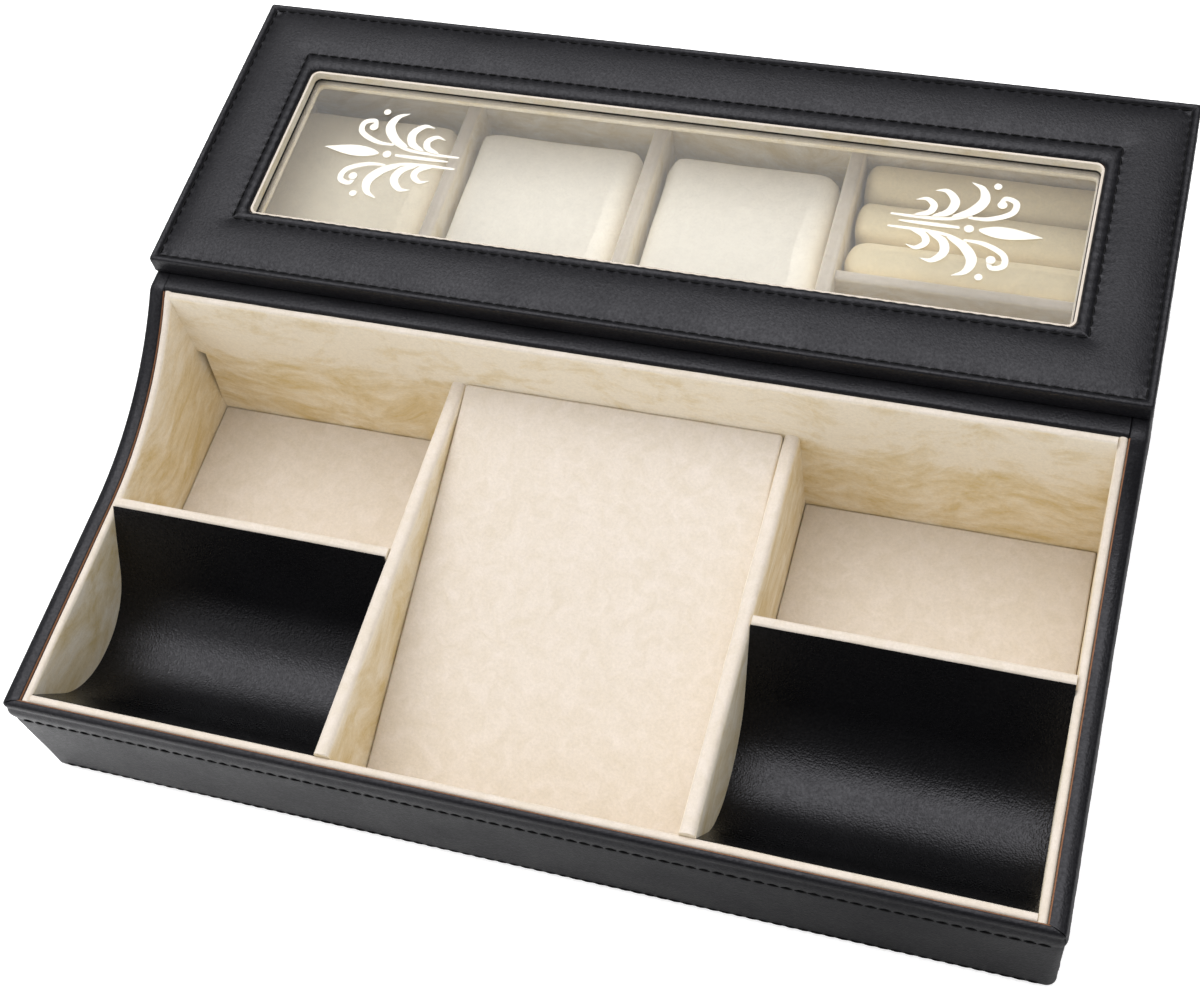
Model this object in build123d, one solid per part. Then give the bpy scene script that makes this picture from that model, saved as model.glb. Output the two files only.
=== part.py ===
from build123d import *
import math
import os

# A leather-covered valet box: an open tray in front, a glass-lidded watch case behind.
# Millimetres, +X to the right, +Y to the back, +Z up.
# The origin is the middle of the underside.

# The box
box_width = 320.0
box_depth = 263.6
case_height = 72.0            # top of the walls round the watch case
tray_height = 46.5            # level rim round the front of the tray
rim_curve_radius = 105.0      # sweep of the side walls from tray rim to case
rim_shoulder_radius = 5.0     # rounded shoulder at the top of that sweep
tray_depth = 141.3            # front of the box to the wall between tray and case
front_wall = 2.6
side_wall = 5.6
back_wall = 6.0
middle_wall = 9.0
corner_radius = 3.0
outer_roll = 1.5              # rounded outer edge of the leather rim
inner_roll = 0.8              # rounded inner edge of the leather rim

# The bottom
felt_thickness = 0.8
felt_inset = 2.5
base_thickness = 5.5
floor_pad = 2.0

# Suede-covered boards
lining = 2.7
lining_step = 0.4             # the linings stop this far below the leather rim
lining_roll = 1.0
corner_notch_width = 3.0      # slot at the left end of the tray's back lining
corner_notch_drop = 29.6      # how far below its top that slot starts
corner_notch_foot = 13.0
divider = 5.0
divider_top = 48.0            # top edge of the tray's dividers
divider_spacing = 110.6       # between the middles of the two dividers
divider_flat = 0.6            # flat left along the rounded top of a divider
partition = 4.0
partition_setback = 71.6      # front of the box to the front face of the partitions
partition_top = 48.2

# The leather troughs
trough_skin = 1.6
trough_bottom = 15.8
trough_bend = 25.0
trough_lip = 48.8
trough_front_lip = 45.6
trough_front_foot = 20.4      # where the two slopes would meet the bottom, from the box front
trough_back_foot = 51.6
bed_drop = 4.0                # the foam bed stays this far below the front lining's top

# The sloping panel
ramp_thickness = 3.5
ramp_front_height = 13.5
ramp_back_height = 48.6
rib_thickness = 4.0
rib_spacing = 60.0
rib_front_gap = 6.0

# The watch case
watch_bay = 64.0              # clear width for one watch
watch_divider = 5.0
watch_divider_top = 50.0
cufflink_bay = 47.9           # clear depth in front of the ring board
ring_board = 4.0
ring_board_top = 47.0
ring_pad_count = 3
ring_pad_height = 39.5
ring_pad_gap = 0.3
ring_pad_flat = 0.8           # flat left along a pad's rounded top

# The watch pillows
pillow_side_gap = 1.0
pillow_floor_gap = 0.3
pillow_front_gap = 2.7
pillow_length = 92.0
pillow_height = 40.5
pillow_crown = 1.8            # rise of the top at its middle
pillow_waist = 1.2            # how far the sides draw in at mid length
pillow_long_corner = 8.0      # rounding along the long edges
pillow_end_corner = 7.0       # rounding across the ends
pillow_upright_corner = 6.0

# The lid
lid_setback = 147.5           # front of the box to the front edge of the lid
lid_thickness = 6.7
lid_gap = 0.4                 # between the lid and the walls when shut
lid_roll = 1.9
window_side_margin = 25.7
window_front_margin = 24.8
window_back_margin = 27.3
window_corner_radius = 3.0
window_roll = 1.2
window_lining = 0.8
window_lining_drop = 1.5      # the cream edge lining starts this far below the lid's top
glass_thickness = 2.0
glass_overlap = 4.0
glass_gap = 0.2
panel_thickness = 3.3         # cream inner panel under the glass
panel_gap = 0.8               # clearance from the case linings
panel_window_ease = 1.0       # its opening is this much wider at each end
panel_corner_radius = 1.5

# The hinges
hinge_inset = 65.0            # end of the box to the middle of a hinge
hinge_length = 30.0
leaf_thickness = 1.0
leaf_reach = 5.0
knuckle_radius = 2.2
knuckle_count = 3
knuckle_gap = 0.2
pin_radius = 1.1
pin_gap = 0.05
pin_head_radius = 1.8
pin_head_height = 0.8
wall_clearance = 0.3

shortest_rim_edge = 4.0       # shorter edges belong to corners, not to the length of a rim

# Places worked out from the sizes
half_width = box_width / 2
front = -box_depth / 2
back = box_depth / 2
shell_bottom = felt_thickness
base_top = felt_thickness + base_thickness
floor_top = base_top + floor_pad
inner_x = half_width - side_wall
lined_x = inner_x - lining
tray_front = front + front_wall + lining
middle_front = front + tray_depth
middle_back = middle_front + middle_wall
tray_back = middle_front - lining
case_front = middle_back + lining
case_back_wall = back - back_wall
case_back = case_back_wall - lining
rim_rise = case_height - tray_height
rim_roll = min(outer_roll, front_wall * 0.6)
rim_curve_start = middle_front - math.sqrt(2 * rim_curve_radius * rim_rise - rim_rise ** 2)
divider_x = divider_spacing / 2
bay_inner_x = divider_x + divider / 2
partition_front = front + partition_setback
partition_back = partition_front + partition
lid_front = front + lid_setback
lid_bottom = case_height + lid_gap
lid_top = lid_bottom + lid_thickness
lid_depth = back - lid_front
window_half = half_width - window_side_margin
window_front = lid_front + window_front_margin
window_back = back - window_back_margin
glass_top = lid_bottom + glass_thickness
hinge_x = half_width - hinge_inset
hinge_y = back + knuckle_radius + wall_clearance
hinge_z = case_height + lid_gap / 2
reach = 10.0                  # how far cutting shapes run past what they cut


def block(x0, x1, y0, y1, z0, z1):
    """A box between two corners."""
    middle = ((x0 + x1) / 2, (y0 + y1) / 2, (z0 + z1) / 2)
    return Pos(*middle) * Box(x1 - x0, y1 - y0, z1 - z0)


def along_x(face, x0, x1):
    """Run a face drawn in (y, z) from x0 to x1."""
    return extrude(Plane.YZ.offset(x0) * face, x1 - x0)


def upright(face, z0, z1):
    """Run a face drawn in (x, y) from z0 to z1."""
    return extrude(Pos(0, 0, z0) * face, z1 - z0)


def polygon(points):
    """A face inside straight edges."""
    return make_face(Polyline(*points, close=True))


def roll_top(board, radius):
    """Round the two long top edges of an upright board, where its cover folds over."""
    top = board.bounding_box().max.Z
    thin = min(board.bounding_box().size.X, board.bounding_box().size.Y)
    edges = [e for e in board.edges() if abs(e.center().Z - top) < 0.01 and e.length > thin * 1.5]
    return fillet(edges, radius)


def rim_line(drop):
    """The side walls' top line: level, swept up to the case height, and level again."""
    start = (rim_curve_start, tray_height - drop)
    shoulder = (middle_front, case_height - drop)
    lines = Line((front - reach, tray_height - drop), start)
    lines += TangentArc(start, shoulder, tangent=(1, 0))
    return lines


def above_rim(drop):
    """Everything above that top line, from the front of the box to the middle wall."""
    ceiling = case_height + reach
    lines = rim_line(drop)
    lines += Polyline(
        (middle_front, case_height - drop),
        (middle_front, ceiling),
        (front - reach, ceiling),
        (front - reach, tray_height - drop),
    )
    return along_x(make_face(lines), -half_width - reach, half_width + reach)


def round_shoulders(shell):
    """Ease the corner where the swept rim meets the level case walls."""
    edges = [
        e
        for e in shell.edges()
        if abs(e.center().Y - middle_front) < 0.01 and abs(e.center().Z - case_height) < 0.01
    ]
    return fillet(edges, rim_shoulder_radius)


def outer_top_edges(shell):
    """The rim's edges along the outer face of the walls."""
    chosen = []
    for e in shell.edges():
        c = e.center()
        run_x = abs(e.position_at(0).X - e.position_at(1).X)
        run_z = abs(e.position_at(0).Z - e.position_at(1).Z)
        across_wall = corner_radius * 1.01 < run_x < side_wall * 1.01
        standing = run_z > case_height / 2
        near_side = abs(c.X) > half_width - side_wall / 2
        near_end = abs(c.Y) > back - front_wall / 2
        if c.Z > tray_height - 0.01 and (near_side or near_end) and not across_wall and not standing:
            chosen.append(e)
    return chosen


def wall_shell():
    """The four outer walls as one ring, with their swept rim and rounded outer edge."""
    outline = RectangleRounded(box_width, box_depth, corner_radius)
    hollow = block(-inner_x, inner_x, front + front_wall, case_back_wall, -reach, case_height + reach)
    shell = upright(outline, shell_bottom, case_height) - hollow
    shell = shell - above_rim(0)
    shell = round_shoulders(shell)
    return fillet(outer_top_edges(shell), rim_roll)


def mitred(shell, corners):
    """The length of the ring that lies over one wall's mitred footprint."""
    return shell & upright(polygon(corners), -reach, case_height + reach)


def outer_walls():
    """The ring parted at its mitred corners into the four walls."""
    shell = wall_shell()
    fl = (-half_width, front)
    fr = (half_width, front)
    bl = (-half_width, back)
    br = (half_width, back)
    ifl = (-inner_x, front + front_wall)
    ifr = (inner_x, front + front_wall)
    ibl = (-inner_x, case_back_wall)
    ibr = (inner_x, case_back_wall)
    return {
        "front_wall": mitred(shell, [fl, fr, ifr, ifl]),
        "left_side_wall": mitred(shell, [fl, ifl, ibl, bl]),
        "right_side_wall": mitred(shell, [fr, ifr, ibr, br]),
        "back_wall": mitred(shell, [bl, br, ibr, ibl]),
    }


def round_inner_edge(wall):
    """Round the rim's inner edge on one wall."""
    edges = []
    for e in wall.edges():
        c = e.center()
        if c.Z < tray_height - 0.01 or e.length < shortest_rim_edge:
            continue
        on_side = abs(abs(c.X) - inner_x) < 0.01 and abs(e.position_at(0).X - e.position_at(1).X) < 0.01
        on_front = abs(c.Y - (front + front_wall)) < 0.01 and abs(c.X) < 1
        if on_side or on_front:
            edges.append(e)
    return fillet(edges, inner_roll)


def middle_wall_board():
    """The wall between tray and watch case; its leather top shows in front of the lid."""
    return roll_top(block(-inner_x, inner_x, middle_front, middle_back, base_top, case_height), inner_roll)


def base_board():
    return block(-inner_x, inner_x, front + front_wall, case_back_wall, felt_thickness, base_top)


def underside_felt():
    outline = RectangleRounded(box_width - 2 * felt_inset, box_depth - 2 * felt_inset, corner_radius)
    return upright(outline, 0, felt_thickness)


def tray_side_lining():
    """The right lining: its top follows the swept rim."""
    slab = block(lined_x, inner_x, front + front_wall, middle_front, base_top, case_height - lining_step)
    slab = slab - above_rim(lining_step)
    edges = []
    for e in slab.edges():
        across = abs(e.position_at(0).X - e.position_at(1).X) > 0.01
        standing = abs(e.position_at(0).Y - e.position_at(1).Y) < 0.01
        on_rim = e.center().Z > tray_height - lining_step - 0.01 and e.length > shortest_rim_edge
        if on_rim and not across and not standing:
            edges.append(e)
    return fillet(edges, lining_roll)


def tray_back_lining():
    """The back lining, with the small slot at its left end."""
    top = case_height - lining_step
    board = roll_top(block(-lined_x, lined_x, tray_back, middle_front, base_top, top), lining_roll)
    slot_top = top - corner_notch_drop
    slot = polygon([(-lined_x, slot_top), (-lined_x + corner_notch_width, slot_top), (-lined_x, corner_notch_foot)])
    return board - extrude(Plane.XZ.offset(-middle_front - reach) * slot, 2 * lining + 2 * reach)


def tray_front_lining():
    top = tray_height - lining_step
    return roll_top(block(-lined_x, lined_x, front + front_wall, tray_front, base_top, top), lining_roll)


def tray_divider():
    """The right divider beside the sloping panel."""
    x0 = divider_x - divider / 2
    board = block(x0, x0 + divider, tray_front, tray_back, base_top, divider_top)
    return roll_top(board, (divider - divider_flat) / 2)


def cross_partition():
    """The right partition between trough and back compartment."""
    board = block(bay_inner_x, lined_x, partition_front, partition_back, base_top, partition_top)
    return roll_top(board, lining_roll)


def back_floor_pad():
    """The right floor pad, behind the partition."""
    return block(bay_inner_x, lined_x, partition_back, tray_back, base_top, floor_top)


def trough_line(drop):
    """The trough's bend across the box, drawn in (y, z) and set lower by drop all round."""
    lean_front = math.atan2(trough_front_lip - trough_bottom, trough_front_foot - front_wall - lining)
    lean_back = math.atan2(trough_lip - trough_bottom, partition_setback - trough_back_foot)
    bottom = trough_bottom - drop
    front_foot = front + trough_front_foot - drop * math.tan(lean_front / 2)
    back_foot = front + trough_back_foot + drop * math.tan(lean_back / 2)
    rise = case_height - bottom
    return FilletPolyline(
        (front_foot - rise / math.tan(lean_front), bottom + rise),
        (front_foot, bottom),
        (back_foot, bottom),
        (back_foot + rise / math.tan(lean_back), bottom + rise),
        radius=trough_bend + drop,
    )


def trough_space(drop, x0, x1):
    """What lies above the trough's bend."""
    line = trough_line(drop)
    face = make_face(line + Line(line @ 1, line @ 0))
    return along_x(face, x0, x1)


def trough():
    """The right trough: a bent, leather-covered skin between lining and partition."""
    x0 = bay_inner_x
    x1 = lined_x
    skin = trough_space(trough_skin, x0, x1) - trough_space(0, x0 - reach, x1 + reach)
    lip = Polyline(
        (tray_front, base_top),
        (tray_front, trough_front_lip),
        (front + trough_front_foot, trough_front_lip),
        (front + trough_back_foot, trough_lip),
        (partition_front, trough_lip),
        (partition_front, base_top),
        close=True,
    )
    return skin & along_x(make_face(lip), x0, x1)


def trough_bed():
    """The right foam bed that carries the trough's bend."""
    top = tray_height - lining_step - bed_drop
    fill = block(bay_inner_x, lined_x, tray_front, partition_front, base_top, top)
    return fill - trough_space(trough_skin, bay_inner_x - reach, lined_x + reach)


def ramp_outline():
    """The sloping panel seen from the side."""
    slope = math.atan2(ramp_back_height - ramp_front_height, tray_back - tray_front)
    depth = ramp_thickness / math.cos(slope)
    return polygon(
        [
            (tray_front, ramp_front_height),
            (tray_back, ramp_back_height),
            (tray_back, ramp_back_height - depth),
            (tray_front, ramp_front_height - depth),
        ]
    )


def ramp_panel():
    half = divider_x - divider / 2
    return along_x(ramp_outline(), -half, half)


def ramp_rib(x):
    """A wedge-shaped rib that carries the sloping panel."""
    slope = (ramp_back_height - ramp_front_height) / (tray_back - tray_front)
    depth = ramp_thickness / math.cos(math.atan(slope))
    start = tray_front + rib_front_gap
    height = ramp_front_height - depth + slope * rib_front_gap
    wedge = polygon(
        [
            (start, base_top),
            (tray_back, base_top),
            (tray_back, ramp_back_height - depth),
            (start, height),
        ]
    )
    return along_x(wedge, x - rib_thickness / 2, x + rib_thickness / 2)


def case_linings():
    """The four suede linings of the watch case and its floor pad."""
    top = case_height - lining_step
    side = block(lined_x, inner_x, middle_back, case_back_wall, base_top, top)
    back_board = block(-lined_x, lined_x, case_back, case_back_wall, base_top, top)
    front_board = block(-lined_x, lined_x, middle_back, case_front, base_top, top)
    return {
        "case_right_lining": roll_top(side, lining_roll),
        "case_left_lining": mirror(roll_top(side, lining_roll), about=Plane.YZ),
        "case_back_lining": roll_top(back_board, lining_roll),
        "case_front_lining": roll_top(front_board, lining_roll),
        "case_floor_pad": block(-lined_x, lined_x, case_front, case_back, base_top, floor_top),
    }


def bay_left(index):
    """Left face of a watch bay, counted from the left."""
    return -lined_x + index * (watch_bay + watch_divider)


def watch_divider_board(index):
    """The divider at the right of a watch bay."""
    x0 = bay_left(index) + watch_bay
    board = block(x0, x0 + watch_divider, case_front, case_back, floor_top, watch_divider_top)
    return roll_top(board, lining_roll)


def ring_bay_left():
    return bay_left(3)


def ring_board_piece():
    """The low board in front of the ring pads."""
    y0 = case_front + cufflink_bay
    board = block(ring_bay_left(), lined_x, y0, y0 + ring_board, floor_top, ring_board_top)
    return roll_top(board, lining_roll)


def ring_pad(index):
    """One upright foam pad with a rounded top; rings are pushed between the pads."""
    y0 = case_front + cufflink_bay + ring_board
    pitch = (case_back - y0) / ring_pad_count
    thickness = pitch - ring_pad_gap
    near = y0 + index * pitch + ring_pad_gap / 2
    pad = block(
        ring_bay_left() + ring_pad_gap,
        lined_x - ring_pad_gap,
        near,
        near + thickness,
        floor_top,
        floor_top + ring_pad_height,
    )
    return roll_top(pad, (thickness - ring_pad_flat) / 2)


def crowned_outline(length, rounding):
    """A pillow seen from its end or its side: flat below, top crowned, corners rounded."""
    half = length / 2
    shoulder = pillow_height - pillow_crown
    outline = Polyline((-half, shoulder), (-half, 0), (half, 0), (half, shoulder))
    outline += ThreePointArc((half, shoulder), (0, pillow_height), (-half, shoulder))
    face = make_face(outline)
    return fillet(face.vertices(), rounding)


def waisted_outline(width):
    """A pillow seen from above: its long sides drawn in at mid length, corners rounded."""
    x = width / 2
    y = pillow_length / 2
    outline = Line((-x, -y), (x, -y))
    outline += ThreePointArc((x, -y), (x - pillow_waist, 0), (x, y))
    outline += Line((x, y), (-x, y))
    outline += ThreePointArc((-x, y), (-x + pillow_waist, 0), (-x, -y))
    face = make_face(outline)
    return fillet(face.vertices(), pillow_upright_corner)


def pillow(index):
    """A stuffed watch pillow, cut to its rounded outline from the end, the side and above."""
    width = watch_bay - 2 * pillow_side_gap
    from_end = Plane.XZ * crowned_outline(width, pillow_long_corner)
    from_side = Plane.YZ * crowned_outline(pillow_length, pillow_end_corner)
    from_above = Pos(0, 0, -reach) * waisted_outline(width)
    shape = extrude(from_end, pillow_length / 2 + reach, both=True)
    shape = shape & extrude(from_side, width / 2 + reach, both=True)
    shape = shape & extrude(from_above, pillow_height + 2 * reach)
    centre_x = bay_left(index) + watch_bay / 2
    centre_y = case_front + pillow_front_gap + pillow_length / 2
    return Pos(centre_x, centre_y, floor_top + pillow_floor_gap) * shape


def lid_outline(margin_front, margin_side, margin_back, radius):
    """A rounded rectangle inside the lid's edges."""
    width = box_width - 2 * margin_side
    depth = lid_depth - margin_front - margin_back
    middle_y = (lid_front + margin_front + back - margin_back) / 2
    return Pos(0, middle_y) * RectangleRounded(width, depth, radius)


def window_outline(grow):
    """The window's outline, larger by grow on each side."""
    return lid_outline(
        window_front_margin - grow,
        window_side_margin - grow,
        window_back_margin - grow,
        max(window_corner_radius + grow, 0.5),
    )


def edges_at(shape, z, inside):
    """Edges at one height, either round the window or round the outside."""
    chosen = []
    for e in shape.edges():
        c = e.center()
        if abs(c.Z - z) > 0.01 or abs(e.position_at(0).Z - e.position_at(1).Z) > 0.01:
            continue
        near_window = abs(c.X) < window_half + 1 and window_front - 1 < c.Y < window_back + 1
        if near_window == inside:
            chosen.append(e)
    return chosen


def lid_board():
    """The leather-covered frame of the lid, rebated below for the glass."""
    board = upright(lid_outline(0, 0, 0, corner_radius), lid_bottom, lid_top)
    board = board - upright(window_outline(0), lid_bottom - reach, lid_top + reach)
    board = board - upright(window_outline(glass_overlap + glass_gap), lid_bottom - reach, glass_top)
    board = fillet(edges_at(board, lid_top, False), lid_roll)
    board = fillet(edges_at(board, lid_top, True), window_roll)
    for x in (-hinge_x, hinge_x):
        board = board - leaf_recess(x, lid_bottom - reach, lid_leaf_top())
    return board


def window_edge_lining():
    """The cream strip round the edge of the window, above the glass."""
    ring = upright(window_outline(0), glass_top, lid_top - window_lining_drop)
    return ring - upright(window_outline(-window_lining), glass_top - reach, lid_top + reach)


def lid_glass():
    return upright(window_outline(glass_overlap), lid_bottom, glass_top)


def inner_panel():
    """The cream frame under the glass; it drops inside the case linings when the lid is shut."""
    x = lined_x - panel_gap
    panel_bottom = lid_bottom - panel_thickness
    slab = block(-x, x, case_front + panel_gap, case_back - panel_gap, panel_bottom, lid_bottom)
    middle_y = (window_front + window_back) / 2
    width = 2 * (window_half + panel_window_ease)
    opening = Pos(0, middle_y) * RectangleRounded(width, window_back - window_front, panel_corner_radius)
    return slab - upright(opening, panel_bottom - reach, lid_bottom + reach)


def case_leaf_bottom():
    return hinge_z - pin_gap - leaf_thickness


def lid_leaf_top():
    return hinge_z + pin_gap + leaf_thickness


def leaf_recess(x, z0, z1):
    """The pocket that a hinge leaf is let into."""
    return block(x - hinge_length / 2, x + hinge_length / 2, back - leaf_reach, back + reach, z0, z1)


def knuckle(x0, x1, radius):
    """A round length on the hinge's axis."""
    disc = Pos(hinge_y, hinge_z) * Circle(radius)
    return along_x(disc, x0, x1)


def hinge_leaf(x, z0, z1, own_parity):
    """A leaf and its own knuckles, clear of the other leaf's knuckles."""
    start = x - hinge_length / 2
    pitch = hinge_length / knuckle_count
    leaf = block(start, start + hinge_length, back - leaf_reach, hinge_y, z0, z1)
    for i in range(knuckle_count):
        x0 = start + i * pitch
        if i % 2 == own_parity:
            trim0 = knuckle_gap / 2 if i > 0 else 0
            trim1 = knuckle_gap / 2 if i < knuckle_count - 1 else 0
            leaf = leaf + knuckle(x0 + trim0, x0 + pitch - trim1, knuckle_radius)
        else:
            room = knuckle_radius + wall_clearance
            leaf = leaf - knuckle(x0 - knuckle_gap / 2, x0 + pitch + knuckle_gap / 2, room)
    return leaf


def case_leaf(x):
    """The leaf let into the back wall's top; it grips the pin."""
    leaf = hinge_leaf(x, case_leaf_bottom(), hinge_z - pin_gap, 0)
    return leaf - knuckle(x - hinge_length, x + hinge_length, pin_radius)


def lid_leaf(x):
    """The leaf let into the lid's underside; it turns on the pin."""
    leaf = hinge_leaf(x, hinge_z + pin_gap, lid_leaf_top(), 1)
    return leaf - knuckle(x - hinge_length, x + hinge_length, pin_radius + pin_gap)


def hinge_pin(x):
    """The pin with a domed head at each end."""
    end0 = x - hinge_length / 2
    end1 = x + hinge_length / 2
    pin = knuckle(end0, end1, pin_radius)
    pin = pin + knuckle(end0 - pin_head_height, end0, pin_head_radius)
    return pin + knuckle(end1, end1 + pin_head_height, pin_head_radius)


def build():
    """Every piece by its node name."""
    pieces = {}
    walls = outer_walls()
    for name in ("front_wall", "left_side_wall", "right_side_wall"):
        pieces[name] = round_inner_edge(walls[name])
    back_board = walls["back_wall"]
    for x in (-hinge_x, hinge_x):
        back_board = back_board - leaf_recess(x, case_leaf_bottom(), case_height + reach)
    pieces["back_wall"] = back_board
    pieces["middle_wall"] = middle_wall_board()
    pieces["base_board"] = base_board()
    pieces["underside_felt"] = underside_felt()

    pieces["tray_front_lining"] = tray_front_lining()
    pieces["tray_back_lining"] = tray_back_lining()
    paired = {
        "tray_side_lining": tray_side_lining(),
        "tray_divider": tray_divider(),
        "cross_partition": cross_partition(),
        "tray_floor_pad": back_floor_pad(),
        "trough": trough(),
        "trough_bed": trough_bed(),
        "ramp_rib": ramp_rib(rib_spacing / 2),
    }
    for name, shape in paired.items():
        pieces["right_" + name] = shape
        pieces["left_" + name] = mirror(shape, about=Plane.YZ)
    pieces["ramp_panel"] = ramp_panel()

    pieces.update(case_linings())
    for index, place in enumerate(("left", "middle", "right")):
        pieces[place + "_watch_divider"] = watch_divider_board(index)
        pieces[place + "_watch_pillow"] = pillow(index)
    pieces["ring_board"] = ring_board_piece()
    for index in range(ring_pad_count):
        pieces["ring_pad_" + str(index + 1)] = ring_pad(index)

    pieces["lid_board"] = lid_board()
    pieces["window_edge_lining"] = window_edge_lining()
    pieces["lid_glass"] = lid_glass()
    pieces["lid_inner_panel"] = inner_panel()
    for place, x in (("left", -hinge_x), ("right", hinge_x)):
        pieces[place + "_hinge_case_leaf"] = case_leaf(x)
        pieces[place + "_hinge_lid_leaf"] = lid_leaf(x)
        pieces[place + "_hinge_pin"] = hinge_pin(x)
    return pieces


os.makedirs("parts", exist_ok=True)
for node, solid in build().items():
    export_step(solid, "parts/" + node + ".step")
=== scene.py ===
"""A black leatherette valet tray with a watch case behind it, dressed piece by piece."""
import math

import bmesh
import bpy
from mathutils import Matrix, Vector, noise


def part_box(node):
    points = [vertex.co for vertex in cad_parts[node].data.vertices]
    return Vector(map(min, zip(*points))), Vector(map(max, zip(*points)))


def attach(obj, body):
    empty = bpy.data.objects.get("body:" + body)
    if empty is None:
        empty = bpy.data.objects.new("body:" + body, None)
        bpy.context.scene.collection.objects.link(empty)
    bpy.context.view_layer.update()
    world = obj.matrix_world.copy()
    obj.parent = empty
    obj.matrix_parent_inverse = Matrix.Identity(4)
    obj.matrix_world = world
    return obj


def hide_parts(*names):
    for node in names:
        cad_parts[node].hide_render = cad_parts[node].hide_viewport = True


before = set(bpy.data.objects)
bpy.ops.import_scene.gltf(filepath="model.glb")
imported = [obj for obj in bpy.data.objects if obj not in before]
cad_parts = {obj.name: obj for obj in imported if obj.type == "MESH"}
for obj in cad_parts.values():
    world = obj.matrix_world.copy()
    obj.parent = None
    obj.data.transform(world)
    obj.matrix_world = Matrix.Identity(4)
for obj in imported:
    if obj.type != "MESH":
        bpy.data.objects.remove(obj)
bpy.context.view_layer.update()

bl_info = {
    "name": "Valet box",
    "version": (1, 0, 0),
    "blender": (4, 5, 0),
    "location": "3D View > Sidebar > Valet box",
    "description": "Leather, suede, cushions, stitching and glass of a valet box",
    "category": "Object",
}

MM = 0.001
WHITE = (1.0, 1.0, 1.0, 1.0)
NOISE_SEED = 1

# Blender seeds its vector noise by the clock, and each run would give slightly other shapes.
noise.seed_set(NOISE_SEED)


def linear(code):
    """Linear red, green and blue of an sRGB hex colour."""
    channels = [int(code[i:i + 2], 16) / 255 for i in (1, 3, 5)]
    return tuple(c / 12.92 if c <= 0.04045 else ((c + 0.055) / 1.055) ** 2.4 for c in channels)


def paint(colour):
    """A colour property as the four numbers that a node takes."""
    return (*colour, 1.0)


# Settings

class StitchSettings(bpy.types.PropertyGroup):
    """The black sewing thread."""

    pitch: bpy.props.FloatProperty(
        name="Pitch", description="From one stitch to the next", default=3.9 * MM, unit="LENGTH")
    length: bpy.props.FloatProperty(
        name="Length", description="Thread that shows between two needle holes", default=3.3 * MM,
        unit="LENGTH")
    thickness: bpy.props.FloatProperty(
        name="Thickness", description="Diameter of the thread", default=0.6 * MM, unit="LENGTH")
    colour: bpy.props.FloatVectorProperty(
        name="Thread", description="Colour of the thread", default=linear("#070708"), subtype="COLOR")


class LeatherSettings(bpy.types.PropertyGroup):
    """The leatherette over walls, lid and troughs."""

    rim_swell: bpy.props.FloatProperty(
        name="Rim swell", description="How far the padded band stands out", default=0.5 * MM, unit="LENGTH")
    lid_swell: bpy.props.FloatProperty(
        name="Lid swell", description="How far the lid's field rises above its seams", default=1.15 * MM,
        unit="LENGTH")
    grain: bpy.props.FloatProperty(
        name="Grain", description="Width of one pebble of the embossed grain", default=0.6 * MM,
        unit="LENGTH")
    colour: bpy.props.FloatVectorProperty(
        name="Leather", description="Colour of the leatherette", default=linear("#111114"), subtype="COLOR")
    trough_colour: bpy.props.FloatVectorProperty(
        name="Trough leather", description="Colour inside the troughs", default=linear("#050506"),
        subtype="COLOR")


class SuedeSettings(bpy.types.PropertyGroup):
    """The cream suede cloth over the boards."""

    edge: bpy.props.FloatProperty(
        name="Edge", description="Rounding where the cloth folds over a board", default=1.2 * MM,
        unit="LENGTH")
    ease: bpy.props.FloatProperty(
        name="Ease", description="Gap beside the loose boards", default=0.25 * MM, unit="LENGTH")
    pile: bpy.props.FloatVectorProperty(
        name="Pile", description="Colour of the raised pile on flat boards", default=linear("#d5cbc1"),
        subtype="COLOR")
    shade: bpy.props.FloatVectorProperty(
        name="Shade", description="Colour of flat boards where the pile lies the other way",
        default=linear("#cbc0b1"), subtype="COLOR")
    # The upright colours and the flat ones are lit and shaded copies of one cloth: painted light and shade.
    wall_pile: bpy.props.FloatVectorProperty(
        name="Wall pile", description="Colour of the pile on upright boards", default=linear("#efe5d2"),
        subtype="COLOR")
    wall_shade: bpy.props.FloatVectorProperty(
        name="Wall shade", description="Colour of the brushed streaks on upright boards",
        default=linear("#d6c08c"), subtype="COLOR")


class CushionSettings(bpy.types.PropertyGroup):
    """The velvet pillows and ring pads."""

    pressure: bpy.props.FloatProperty(
        name="Pressure", description="Stuffing pressure in the cloth simulation", default=4.0)
    cap: bpy.props.FloatProperty(
        name="Swell limit", description="Most that the cloth may move", default=1.6 * MM, unit="LENGTH")
    spare: bpy.props.FloatProperty(
        name="Spare width", description="How far a cushion may swell past its sides", default=0.7 * MM,
        unit="LENGTH")
    voxel: bpy.props.FloatProperty(
        name="Mesh size", description="Voxel size of the simulated mesh", default=4.0 * MM, unit="LENGTH")
    # The pillows are one velvet: the left one's warmer tone and the other two's paler one are painted light
    # and shade, set to how much light each pillow takes in the case.
    velvet: bpy.props.FloatVectorProperty(
        name="Velvet", description="Colour of the left pillow", default=linear("#faf0dc"), subtype="COLOR")
    pale_velvet: bpy.props.FloatVectorProperty(
        name="Pale velvet", description="Colour of the other two pillows", default=linear("#f8f2e8"),
        subtype="COLOR")
    pad_velvet: bpy.props.FloatVectorProperty(
        name="Pad velvet", description="Colour of the ring pads", default=linear("#f1e2c0"), subtype="COLOR")


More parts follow.
